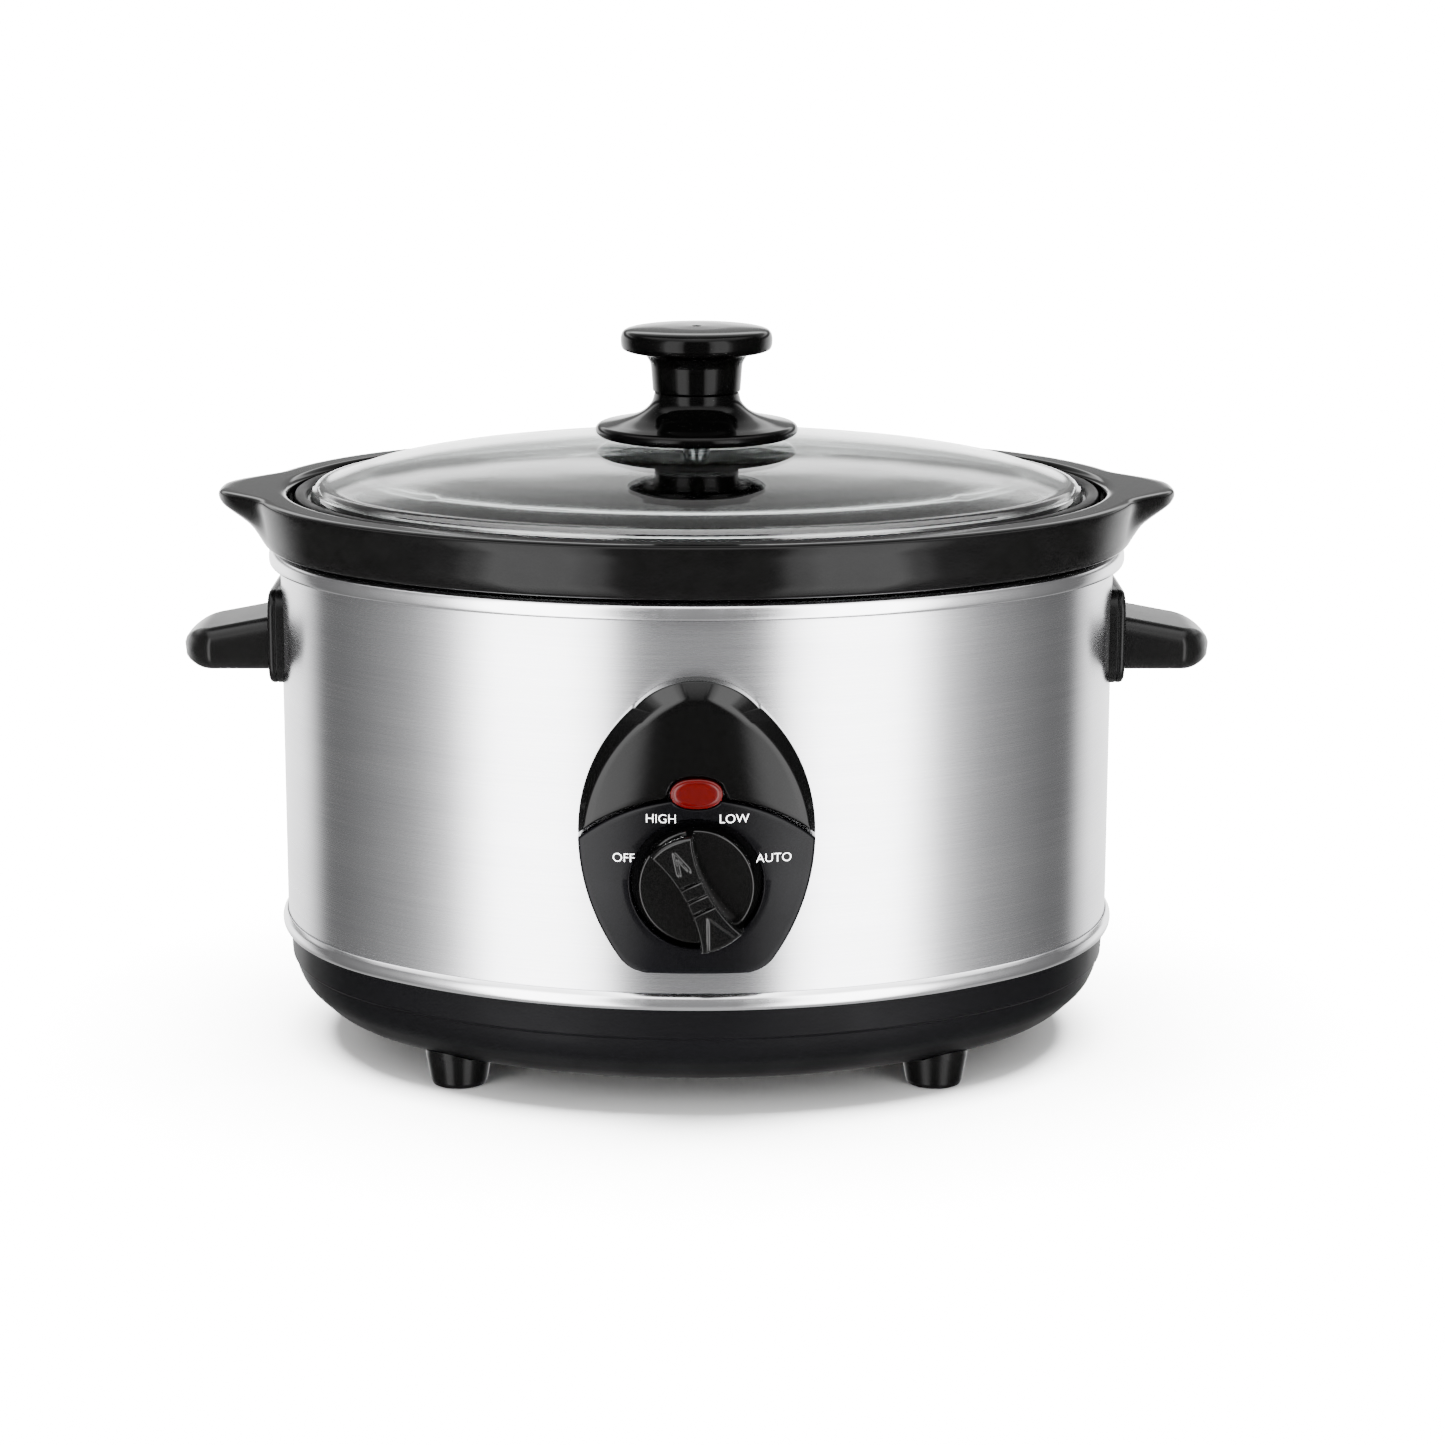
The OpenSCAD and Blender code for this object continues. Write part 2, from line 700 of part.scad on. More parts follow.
module side_handle() {
  tip = plate_x + grip_reach;
  zt = grip_z + 19;
  difference() {
    union() {
      difference() {
        translate([plate_x - 18, 0, grip_mid]) rotate([90, 0, 90]) linear_extrude(height = 18)
          round_rect(plate_w, plate_h, 8);
        translate([end_c, 0, grip_mid - 40]) cylinder(r = end_r(half_len) + 0.15, h = 80, $fn = 180);
      }
      intersection() {
        translate([0, 30, 0]) rotate([90, 0, 0]) linear_extrude(height = 60)
          polygon([[plate_x - 1, grip_z], [tip - 7.4, grip_z], [tip - 3.4, grip_z + 1.5],
            [tip - 0.9, grip_z + 4.6], [tip, grip_z + 9], [tip - 1.2, grip_z + 13.2],
            [tip - 4.6, grip_z + 16.2], [tip - 10.4, grip_z + 18.1], [plate_x - 1, zt]]);
        translate([0, 0, grip_z - 5]) linear_extrude(height = 40) intersection() {
          translate([tip - 24, 0]) circle(r = 24);
          translate([plate_x - 10, -20]) square([60, 40]);
        }
      }
      translate([plate_x - 1, -20, grip_z]) cube([7, 40, 18.6]);
    }
    for (y = [-screw_y, screw_y]) bar_x(y, grip_mid, half_len - 10, plate_x + 7, 1.5);
  }
}

module right_handle() {
  color(c_black) side_handle();
}

module left_handle() {
  color(c_black) mirror([1, 0, 0]) side_handle();
}

module handle_screws() {
  x = end_c + sqrt(pow(end_r(half_len) - wall_thin - 0.25, 2) - pow(screw_y + 3.4, 2));
  color(c_bare) for (m = [0, 1]) {
    for (y = [-screw_y, screw_y]) {
      mirror([m, 0, 0]) bar_x(y, grip_mid, x - 1.8, plate_x + 5, 1.45);
      mirror([m, 0, 0]) bar_x(y, grip_mid, x - 1.8, x, 3.4);
    }
  }
}

// ---------- crock ----------
arc_end = 32;
arc_side = 20;
join_deg = 53.130102;
PHI = [for (q = [0, 1]) each concat(
  [for (i = [0 : arc_end - 1]) 180 * q - join_deg + 2 * join_deg * i / arc_end],
  [for (i = [0 : arc_side - 1]) 180 * q + join_deg + (180 - 2 * join_deg) * i / arc_side])];
ring_n = len(PHI);

function smooth(t) = let(u = min(1, max(0, t))) u * u * (3 - 2 * u);
function fold(p) = let(q = abs((p + 360) % 180)) min(q, 180 - q);
// how far the ear stands out in the direction p
function ear(p) = let(q = fold(p)) q > 19.4 ? 0 :
  ear_reach * smooth((19.4 - q) / 16.4);
function oval_pt(a, p) = abs(cos(p)) > 0.59999 ?
  [sign(cos(p)) * end_c + end_r(a) * cos(p), end_r(a) * sin(p)] :
  [side_r(a) * cos(p), side_r(a) * sin(p) - sign(sin(p)) * side_c];
function ring(a, z, e = 0, k = 1) = [for (p = PHI)
  let(q = oval_pt(a + e * ear(p), p)) [k * q[0], k * q[1], z]];
function round_ring(r, z) = [for (p = PHI) let(q = oval_pt(pan_in - 20, p), w = norm(q))
  [r * q[0] / w, r * q[1] / w, z]];

// rings of equal count joined by faces, closed at both ends by a fan or round a hole
module loft(rings, closed) {
  m = len(rings);
  pts = [for (r = rings) each r];
  walls = [for (i = [0 : (closed ? m - 1 : m - 2)]) for (j = [0 : ring_n - 1])
    let(j2 = (j + 1) % ring_n, i2 = (i + 1) % m)
    each [[i * ring_n + j, i2 * ring_n + j, i2 * ring_n + j2],
      [i * ring_n + j, i2 * ring_n + j2, i * ring_n + j2]]];
  ends = closed ? [] : [[for (j = [0 : ring_n - 1]) j],
    [for (j = [0 : ring_n - 1]) m * ring_n - 1 - j]];
  polyhedron(points = pts, faces = concat(walls, ends), convexity = 8);
}

module stoneware_crock() {
  ci = crock_in;
  co = crock_out;
  b = crock_z0;
  color(c_glaze) loft([
    ring(co - 17, b), ring(co - 11, b + 1), ring(co - 5.4, b + 5), ring(co - 2.4, b + 12),
    ring(co - 1.2, b + 50), ring(co - 0.2, flange_z - 8), ring(co + 0.4, flange_z - 2),
    ring(co + 2, flange_z), ring(rim_out - 3.6, flange_z), ring(rim_out - 2.4, flange_z + 2.4, 0.1),
    ring(rim_out - 1.8, flange_z + 6.5, 0.3), ring(rim_out - 1.2, flange_z + 10, 0.68),
    ring(rim_out - 0.8, flange_z + 12.6, 0.94), ring(rim_out - 0.1, rim_z - 2.9, 1),
    ring(rim_out, rim_z - 1.3, 1), ring(rim_out - 1.2, rim_z - 0.2, 0.97),
    ring(rim_out - 4, rim_z, 0.72), ring(rim_in + 3.4, rim_z, 0.25), ring(rim_in + 1.1, rim_z - 0.1),
    ring(rim_in, rim_z - 0.9), ring(rim_in - 0.4, ledge_z + 1), ring(rim_in - 1.2, ledge_z + 0.1),
    ring(ci + 4.4, ledge_z), ring(ci + 2.2, ledge_z - 1.2), ring(ci + 0.6, ledge_z - 5),
    ring(ci, ledge_z - 12), ring(ci - 1, b + 60), ring(ci - 2.4, b + 26), ring(ci - 5, b + 14),
    ring(ci - 10, b + 8.4), ring(ci - 17, b + 6.6)], false);
}

// ---------- lid ----------
glass_a = seal_out - 2.8;
glass_z = ledge_z + 1.3;
crown_z = glass_z + 2.6 + dome_rise;
glass_t = 3.4;
screw_hole = 3;

// half-lengths and heights of the outside of the glass
DOME = [[1, 0], [0.978, 0], [0.965, 0.1], [0.935, 0.28], [0.86, 0.47], [0.74, 0.66],
  [0.58, 0.82], [0.4, 0.93], [0.2, 0.985]];

module lid_glass() {
  top = [for (d = DOME) ring(glass_a, glass_z + 2.6 + dome_rise * d[1], 0, d[0])];
  low = [for (i = [len(DOME) - 1 : -1 : 1]) let(d = DOME[i])
    ring(glass_a, glass_z + 2.6 + dome_rise * d[1] - glass_t * min(1, 0.77 + d[1]), 0,
      d[0] - 0.012)];
  color([0.8, 0.85, 0.86, 0.4]) loft(concat(top,
    [round_ring(screw_hole, crown_z), round_ring(screw_hole, crown_z - glass_t)], low,
    [ring(glass_a, glass_z)]), true);
}

module lid_rim_seal() {
  z = ledge_z + move_gap;
  g0 = glass_z - seat_gap;
  g1 = glass_z + 2.6 + seat_gap;
  color(c_black) sweep_oval(z - 5, rim_z + 5) polygon([[seal_in, z], [seal_out - 0.5, z],
    [seal_out, z + 0.7], [seal_out, rim_z - 2.4], [seal_out - 0.5, rim_z - 1.4],
    [seal_out - 1.5, rim_z - 0.9], [seal_in + 1.4, rim_z - 0.9], [seal_in + 0.5, rim_z - 1.4],
    [seal_in + 0.2, g1], [glass_a + 0.4, g1], [glass_a + 0.4, g0], [seal_in, g0]]);
}

gasket_t = 1.5;
cap_z = crown_z + gasket_t + 2 * seat_gap;
top_z = cap_z + knob_h;
split_z = cap_z + 15.2;

module lid_gasket() {
  color([0.2, 0.2, 0.2]) translate([0, 0, crown_z + seat_gap]) difference() {
    cylinder(r = 11, h = gasket_t);
    translate([0, 0, -1]) cylinder(r = 2.4, h = 4);
  }
}

module lid_knob_base() {
  z = cap_z;
  color(c_black) rotate_extrude() polygon([[2.4, z], [33, z + 0.1], [34.6, z + 0.6],
    [35.5, z + 2], [35, z + 3.2], [33.6, z + 4], [28, z + 5.2], [22.5, z + 6.6], [18.6, z + 8.2],
    [16.4, z + 10], [15.1, z + 12.2], [14.6, split_z - 0.5], [14.1, split_z], [10, split_z],
    [10, split_z + 3.6], [2.4, split_z + 3.6]]);
}

module lid_knob_cap() {
  z = split_z + 0.3;
  t = top_z;
  k = knob_r;
  color(c_black) rotate_extrude() polygon([[10.2, z], [14.6, z], [15.2, z + 0.5], [15.6, z + 6],
    [16, t - 13.4], [17.2, t - 11], [19.4, t - 9.4], [22, t - 8.7], [k - 2.6, t - 8.4],
    [k - 1, t - 7.5], [k - 0.15, t - 5.6], [k - 0.1, t - 3.6], [k - 1, t - 1.8],
    [k - 2.8, t - 0.8], [k - 8, t - 0.2], [8, t], [1.6, t], [0.8, t - 0.7], [0, t - 0.9],
    [0, split_z + 9], [2.1, split_z + 9], [2.1, split_z + 4], [10.2, split_z + 4]]);
}

module lid_washer() {
  color(c_bare) translate([0, 0, crown_z - glass_t - 1.1]) difference() {
    cylinder(r = 8, h = 1);
    translate([0, 0, -1]) cylinder(r = 2.2, h = 4);
  }
}

module lid_screw() {
  z = crown_z - glass_t - 4.2;
  color(c_bare) difference() {
    union() {
      translate([0, 0, z + 0.9]) cylinder(r = 4.6, h = 2.1);
      translate([0, 0, z]) cylinder(r = 3.8, h = 1);
      translate([0, 0, z + 1]) cylinder(r = 2, h = split_z + 8 - z);
    }
    translate([-2.6, -0.5, z - 1]) cube([5.2, 1, 2.2]);
    translate([-0.5, -2.6, z - 1]) cube([1, 5.2, 2.2]);
  }
}

// ---------- the parts ----------
base_tray();
foot(-foot_x, -foot_y);  // foot_front_left
foot(foot_x, -foot_y);  // foot_front_right
foot(-foot_x, foot_y);  // foot_rear_left
foot(foot_x, foot_y);  // foot_rear_right
foot_screws();
rating_plate();
lower_trim_ring();
outer_shell();
heating_pan();
heater_band();
heater_strap();
strap_screw();
heater_terminals();
heat_shield();
centre_bolt();
centre_spacer();
centre_nut();
thermostat();
thermostat_bracket();
thermal_fuse();
fuse_clip();
terminal_block();
cord_gland();
gland_nut();
live_wire();
neutral_wire();
element_wire();
switch_body();
switch_nut();
control_fascia();
panel_cover();
indicator_lens();
neon_lamp();
panel_screws();
left_handle();
right_handle();
handle_screws();
control_knob();
switch_shaft();
stoneware_crock();
lid_glass();
lid_rim_seal();
lid_knob_base();
lid_knob_cap();
lid_gasket();
lid_washer();
lid_screw();
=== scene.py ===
# %% [markdown]
# # An oval slow cooker
# A countertop slow cooker is a steel-wrapped heating pan on a black plastic base, with a loose
# stoneware crock and a glass lid. The CAD part already fixes every size and every joint, so this
# lesson only builds the looks: finer meshes where light shows the shape, and one finish for each
# real material. All sizes below are in millimetres and are turned to metres in one place.

# %% Load the fixed frame
import json
import math

import bmesh
import bpy
import numpy as np
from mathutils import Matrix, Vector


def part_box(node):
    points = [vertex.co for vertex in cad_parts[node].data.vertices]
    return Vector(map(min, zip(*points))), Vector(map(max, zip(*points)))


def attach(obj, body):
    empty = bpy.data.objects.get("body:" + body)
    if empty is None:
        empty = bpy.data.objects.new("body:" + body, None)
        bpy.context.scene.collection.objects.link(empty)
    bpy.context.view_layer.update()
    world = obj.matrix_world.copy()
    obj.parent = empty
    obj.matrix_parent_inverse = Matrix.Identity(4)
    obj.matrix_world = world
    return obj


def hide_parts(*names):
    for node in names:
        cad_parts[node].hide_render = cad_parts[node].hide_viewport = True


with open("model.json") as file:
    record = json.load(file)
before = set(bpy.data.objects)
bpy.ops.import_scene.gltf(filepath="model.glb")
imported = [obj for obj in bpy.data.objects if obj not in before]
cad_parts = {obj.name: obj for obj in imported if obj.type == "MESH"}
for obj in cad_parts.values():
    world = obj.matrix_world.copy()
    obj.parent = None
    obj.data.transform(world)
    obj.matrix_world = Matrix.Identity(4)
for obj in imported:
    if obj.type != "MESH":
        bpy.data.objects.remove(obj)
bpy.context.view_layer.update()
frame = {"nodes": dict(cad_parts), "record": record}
MM = 0.001

# %% [markdown]
# ## Sizes read from the CAD nodes
# Every oval on this cooker is four arcs that meet tangentially, and each is named by its
# half-length. The half-depth follows, because all the ovals are parallel curves. Reading these
# from the nodes' boxes keeps the looks in step with the part.


# %% Read the sizes
def box_mm(node):
    low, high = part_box(node)
    return np.array(low) / MM, np.array(high) / MM


shell_low, shell_high = box_mm("outer_shell")
tray_low, tray_high = box_mm("base_tray")
ring_low, ring_high = box_mm("lower_trim_ring")
pan_low, pan_high = box_mm("heating_pan")
crock_low, crock_high = box_mm("stoneware_crock")
half_len = shell_high[0]
front_y = shell_high[1]
oval_s = (half_len - front_y) / 2
end_c = 3 * oval_s
side_c = 4 * oval_s
print(f"wrap {2 * half_len:.1f} x {2 * front_y:.1f}, height {shell_high[2] - shell_low[2]:.1f} mm")

# %% [markdown]
# ## Mesh helpers
# Almost every piece here is a closed profile carried round an oval or a circle. So one helper
# softens the corners of a profile, as a mould or a press would, and one joins rings of points
# into a skin. Profiles are listed as points because modelling by numbers keeps them exact; bevel
# modifiers would do the same job but slip on the crock's changing ears.


# %% Soften, ring and skin
def soften(points, closed=False, steps=4):
    """Rounds each corner; the last number of a point is the length that its curve takes."""
    points = [np.array(p, float) for p in points]
    out = []
    for i, p in enumerate(points):
        here, reach = p[:-1], p[-1]
        inner = closed or 0 < i < len(points) - 1
        if not inner or reach <= 0:
            out.append(here)
            continue
        before = points[i - 1][:-1] - here
        after = points[(i + 1) % len(points)][:-1] - here
        a = here + before * min(0.48, reach / max(np.linalg.norm(before), 1e-6))
        b = here + after * min(0.48, reach / max(np.linalg.norm(after), 1e-6))
        for k in range(steps + 1):
            t = k / steps
            out.append((1 - t) ** 2 * a + 2 * t * (1 - t) * here + t * t * b)
    return out


ROUND = 288


def ear(angle):
    """How far the crock's ear stands out in the direction of an angle."""
    q = abs((math.degrees(angle) + 360) % 180)
    t = min(1, max(0, (19.4 - min(q, 180 - q)) / 16.4))
    return ear_reach * t * t * (3 - 2 * t)


def oval_ring(a, z, reach=0.0, scale=1.0, count=ROUND):
    """A ring of points on the oval of half-length a, spaced by the direction it faces."""
    ring = []
    for k in range(count):
        angle = 2 * math.pi * k / count
        c, s = math.cos(angle), math.sin(angle)
        r = a + (reach * ear(angle) if reach else 0.0)
        if abs(c) >= 0.6:
            x, y = math.copysign(end_c, c) + (r - end_c) * c, (r - end_c) * s
        else:
            x, y = (r + 2 * oval_s) * c, (r + 2 * oval_s) * s - math.copysign(side_c, s)
        ring.append((x * scale, y * scale, z))
    return np.array(ring)


def disc_ring(r, z, count=ROUND):
    angle = 2 * math.pi * np.arange(count) / count
    return np.column_stack([r * np.cos(angle), r * np.sin(angle), np.full(count, z)])


def skin(rings, loop=False):
    """Joins rings of equal count. A loop closes on itself, and anything else is capped."""
    count = len(rings[0])
    points = np.concatenate(rings)
    faces = []
    for i in range(len(rings) if loop else len(rings) - 1):
        j = (i + 1) % len(rings)
        for k in range(count):
            n = (k + 1) % count
            faces.append((i * count + k, i * count + n, j * count + n, j * count + k))
    if not loop:
        faces.append(tuple(range(count)))
        faces.append(tuple(range((len(rings) - 1) * count, len(rings) * count)))
    return points, faces


# %% [markdown]
# ## Finishes
# Each finish starts from the real material: brushed stainless steel, glazed stoneware, moulded
# ABS, phenolic plastic, soda-lime glass. A node graph adds what the making left behind: brushing
# lines, the orange peel of a glaze, the fine grain of a spark-eroded mould.


# %% Colour and node helpers
def linear(hex_colour):
    parts = [int(hex_colour[i:i + 2], 16) / 255 for i in (1, 3, 5)]
    return tuple(c / 12.92 if c <= 0.04045 else ((c + 0.055) / 1.055) ** 2.4
                 for c in parts) + (1.0,)


def add(tree, kind, inputs=None, **settings):
    """Adds one node. An input is either a plain value or the socket that feeds it."""
    node = tree.nodes.new("ShaderNode" + kind)
    for name, value in settings.items():
        setattr(node, name, value)
    for key, value in (inputs or {}).items():
        if isinstance(value, bpy.types.NodeSocket):
            tree.links.new(value, node.inputs[key])
        else:
            node.inputs[key].default_value = value
    return node


FINISHES = {}


def finish(slot, name, colour, **sockets):
    """A new material for a slot, with the shader's own sockets set."""
    material = bpy.data.materials.new(name)
    material.use_nodes = True
    tree = material.node_tree
    tree.nodes.clear()
    shader = add(tree, "BsdfPrincipled", {"Base Color": linear(colour), **sockets})
    add(tree, "OutputMaterial", {"Surface": shader.outputs[0]})
    place = add(tree, "TexCoord").outputs["Object"]
    FINISHES[slot] = material
    return tree, shader, place


def stretched(tree, place, x_mm, y_mm, z_mm):
    """Coordinates in which one unit is the given real size along each axis."""
    return add(tree, "Mapping", {"Vector": place, "Scale": (1 / (x_mm * MM), 1 / (y_mm * MM),
                                                            1 / (z_mm * MM))}).outputs[0]


# %% [markdown]
# ### Brushed stainless steel
# The wrap is rolled sheet that was brushed lengthwise by an abrasive belt. Each scratch is a tiny
# groove, so light spreads across the scratches and stays sharp along them: soft boxes show as
# upright bands. Anisotropy gives that, and noise drawn out sideways gives the lines. Real scratches
# are about 0.05 mm apart; here they are 0.35 mm, or they would not show.

# %% Brushed wrap
tree, shader, place = finish("brushed_wrap", "stainless steel, belt brushed", "#C6C6C8", Metallic=1.0,
                             Roughness=0.27, Anisotropic=0.85)
shader.inputs["Anisotropic Rotation"].default_value = 0.25
tree.links.new(add(tree, "Tangent", direction_type="RADIAL", axis="Z").outputs[0],
               shader.inputs["Tangent"])
scratch = add(tree, "TexNoise", {"Vector": stretched(tree, place, 40, 40, 0.35), "Scale": 1.0,
                                 "Detail": 3.0, "Roughness": 0.6})
cloud = add(tree, "TexNoise", {"Vector": stretched(tree, place, 120, 120, 14), "Scale": 1.0,
                               "Detail": 2.0})
rough = add(tree, "MapRange", {"Value": scratch.outputs[0], "From Min": 0.3, "From Max": 0.7,
                               "To Min": 0.262, "To Max": 0.28})
tree.links.new(rough.outputs[0], shader.inputs["Roughness"])
both = add(tree, "Mix", {"Factor": 0.35, "A": scratch.outputs[0], "B": cloud.outputs[0]})
tone = add(tree, "ValToRGB", {"Fac": both.outputs[0]})
tone.color_ramp.elements[0].position = 0.35
tone.color_ramp.elements[0].color = linear("#BFBFC2")
tone.color_ramp.elements[1].position = 0.65
tone.color_ramp.elements[1].color = linear("#CDCDCF")
tree.links.new(tone.outputs[0], shader.inputs["Base Color"])
bump = add(tree, "Bump", {"Strength": 0.015, "Distance": 0.02 * MM, "Height": scratch.outputs[0]})
tree.links.new(bump.outputs[0], shader.inputs["Normal"])
print("brushed steel: scratches 0.35 mm apart, 40 mm long")

# %% [markdown]
# ### Other metals
# The beads are the same steel, rolled over and buffed, so they are smoother. The pan is drawn
# aluminium, the screws are zinc plated, and the plates are thin rolled aluminium. They share one
# recipe: a metal with a fine cloud in its roughness and faint drawing lines.


# %% Metals
def metal(slot, name, colour, roughness, line_mm, spread):
    tree, shader, place = finish(slot, name, colour, Metallic=1.0, Roughness=roughness)
    lines = add(tree, "TexNoise", {"Vector": stretched(tree, place, 30, 30, line_mm), "Scale": 1.0,
                                   "Detail": 3.0})
    spots = add(tree, "TexNoise", {"Vector": stretched(tree, place, 5, 5, 5), "Scale": 1.0,
                                   "Detail": 4.0})
    mixed = add(tree, "Mix", {"Factor": 0.5, "A": lines.outputs[0], "B": spots.outputs[0]})
    rough = add(tree, "MapRange", {"Value": mixed.outputs[0], "From Min": 0.35, "From Max": 0.65,
                                   "To Min": roughness - spread, "To Max": roughness + spread})
    tree.links.new(rough.outputs[0], shader.inputs["Roughness"])
    bump = add(tree, "Bump", {"Strength": 0.1, "Distance": 0.02 * MM, "Height": lines.outputs[0]})
    tree.links.new(bump.outputs[0], shader.inputs["Normal"])
    return FINISHES[slot]


metal("polished_bead", "stainless steel, rolled and buffed", "#D2D2D4", 0.16, 0.5, 0.04)
metal("pan_metal", "aluminium, deep drawn", "#B4B5B7", 0.34, 0.6, 0.08)
metal("zinc_steel", "steel, zinc plated", "#B3B6B8", 0.3, 0.4, 0.08)
metal("thin_aluminium", "aluminium sheet, rolled", "#C8CACC", 0.3, 0.4, 0.06)
metal("terminal_brass", "brass, stamped", "#C9A45A", 0.28, 0.4, 0.06)
print("metals:", len(FINISHES))

# %% [markdown]
# ### Moulded plastics
# The base is satin ABS from a spark-eroded mould, the feet, handles and dial are glossier, and
# the lid knob is polished phenolic. All are black, so what tells them apart is the reflection:
# its sharpness comes from roughness, and its slight wander from the grain and the flow waves
# of the moulding.


# %% Plastics
def moulded(slot, name, colour, roughness, grain_mm, depth_mm, level, waves=0.3, spread=0.05):
    tree, shader, place = finish(slot, name, colour, Roughness=roughness, IOR=1.5)
    shader.inputs["Specular IOR Level"].default_value = level
    grain = add(tree, "TexNoise", {"Vector": stretched(tree, place, grain_mm, grain_mm, grain_mm),
                                   "Scale": 1.0, "Detail": 2.0})
    flow = add(tree, "TexNoise", {"Vector": stretched(tree, place, 26, 26, 18), "Scale": 1.0,
                                  "Detail": 1.0})
    rough = add(tree, "MapRange", {"Value": flow.outputs[0], "From Min": 0.35, "From Max": 0.65,
                                   "To Min": roughness - spread, "To Max": roughness + spread})
    tree.links.new(rough.outputs[0], shader.inputs["Roughness"])
    tint = add(tree, "Mix", {"Factor": flow.outputs[0], "A": linear(colour),
                             "B": tuple(0.75 * c for c in linear(colour)[:3]) + (1.0,)},
               data_type="RGBA")
    tree.links.new(tint.outputs["Result"], shader.inputs["Base Color"])
    wave = add(tree, "Bump", {"Strength": waves, "Distance": 0.1 * MM, "Height": flow.outputs[0]})
    fine = add(tree, "Bump", {"Strength": 0.5, "Distance": depth_mm * MM,
                              "Height": grain.outputs[0], "Normal": wave.outputs[0]})
    tree.links.new(fine.outputs[0], shader.inputs["Normal"])
    return FINISHES[slot]


moulded("base_plastic", "ABS, satin moulded", "#050506", 0.4, 0.5, 0.02, 0.035)
moulded("foot_plastic", "ABS, gloss moulded", "#060606", 0.22, 0.6, 0.004, 0.05)
moulded("panel_gloss", "ABS, gloss moulded panel", "#020202", 0.07, 0.8, 0.0005, 0.12, 0.05, 0.02)
moulded("panel_satin", "ABS, fine satin moulded", "#040405", 0.2, 0.4, 0.006, 0.07)
moulded("handle_plastic", "phenolic, moulded", "#060606", 0.2, 0.5, 0.005, 0.09)
moulded("dial_plastic", "ABS, gloss moulded dial", "#030303", 0.12, 0.7, 0.0004, 0.2, 0.05, 0.02)
moulded("lid_plastic", "phenolic, polished", "#020202", 0.07, 0.8, 0.0005, 0.05, 0.06, 0.02)
moulded("black_seal", "silicone rubber, moulded", "#080808", 0.42, 0.4, 0.01, 0.06)
moulded("switch_plastic", "nylon, moulded", "#3C3C3E", 0.45, 0.5, 0.01, 0.4)
moulded("ceramic_body", "steatite, pressed", "#E6E1D2", 0.6, 0.6, 0.02, 0.4)
moulded("brown_sleeve", "silicone sleeve, brown", "#5A2E1B", 0.5, 0.5, 0.01, 0.4)
moulded("blue_sleeve", "silicone sleeve, blue", "#22407A", 0.5, 0.5, 0.01, 0.4)
moulded("white_sleeve", "silicone sleeve, white", "#DEDED8", 0.5, 0.5, 0.01, 0.4)
moulded("band_fabric", "glass fibre, woven sleeve", "#BCB4A4", 0.8, 0.9, 0.15, 0.3)
print("plastics done,", len(FINISHES), "finishes")

# %% [markdown]
# ### Glazed stoneware
# The crock is dipped in black glaze and fired, so it is a dark body under a clear, hard skin.
# The glaze levels out under surface tension, but
# keeps a soft orange peel a few millimetres across and tiny spots of duller gloss.

# %% Black glaze
tree, shader, place = finish("black_glaze", "stoneware, black glazed", "#040404", Roughness=0.08,
                             IOR=1.5)
shader.inputs["Specular IOR Level"].default_value = 0.07
peel = add(tree, "TexNoise", {"Vector": stretched(tree, place, 7, 7, 7), "Scale": 1.0,
                              "Detail": 2.0})
speck = add(tree, "TexVoronoi", {"Vector": stretched(tree, place, 1.6, 1.6, 1.6), "Scale": 1.0})
dull = add(tree, "MapRange", {"Value": speck.outputs["Distance"], "From Min": 0.05,
                              "From Max": 0.2, "To Min": 0.14, "To Max": 0.06})
tree.links.new(dull.outputs[0], shader.inputs["Roughness"])
tone = add(tree, "Mix", {"Factor": peel.outputs[0], "A": linear("#020202"),
                         "B": linear("#050505")}, data_type="RGBA")
tree.links.new(tone.outputs["Result"], shader.inputs["Base Color"])
bump = add(tree, "Bump", {"Strength": 0.1, "Distance": 0.02 * MM, "Height": peel.outputs[0]})
tree.links.new(bump.outputs[0], shader.inputs["Normal"])
print("black glaze: peel 7 mm, dull spots 1.6 mm apart")

# %% [markdown]
# ### Glass and the red lens
# The lid is tempered soda-lime glass, sagged into its dome while hot, which leaves very long,
# shallow ripples. The lens is red polycarbonate, drawn as an opaque deep red with a glossy
# skin.

# %% Glass, lens and lamp
tree, shader, place = finish("clear_glass", "soda-lime glass, tempered", "#F4F7F6", Roughness=0.02,
                             IOR=1.52)
shader.inputs["Transmission Weight"].default_value = 1.0
ripple = add(tree, "TexNoise", {"Vector": stretched(tree, place, 120, 20, 20), "Scale": 1.0,
                                "Detail": 1.0})
bump = add(tree, "Bump", {"Strength": 0.2, "Distance": 0.12 * MM, "Height": ripple.outputs[0]})
tree.links.new(bump.outputs[0], shader.inputs["Normal"])

tree, shader, place = finish("red_lens", "polycarbonate, red", "#2A0000", Roughness=0.14, IOR=1.58)
shader.inputs["Specular IOR Level"].default_value = 0.12
ribs = add(tree, "TexWave", {"Vector": stretched(tree, place, 1.2, 1.2, 1.2), "Scale": 1.0},
           bands_direction="X")
bump = add(tree, "Bump", {"Strength": 0.1, "Distance": 0.05 * MM, "Height": ribs.outputs[0]})
tree.links.new(bump.outputs[0], shader.inputs["Normal"])

tree, shader, place = finish("lamp_glass", "neon bulb glass", "#E8B48A", Roughness=0.08, IOR=1.5)
shader.inputs["Transmission Weight"].default_value = 0.7
haze = add(tree, "TexNoise", {"Vector": stretched(tree, place, 1.5, 1.5, 1.5), "Scale": 1.0})
bump = add(tree, "Bump", {"Strength": 0.1, "Distance": 0.05 * MM, "Height": haze.outputs[0]})
tree.links.new(bump.outputs[0], shader.inputs["Normal"])

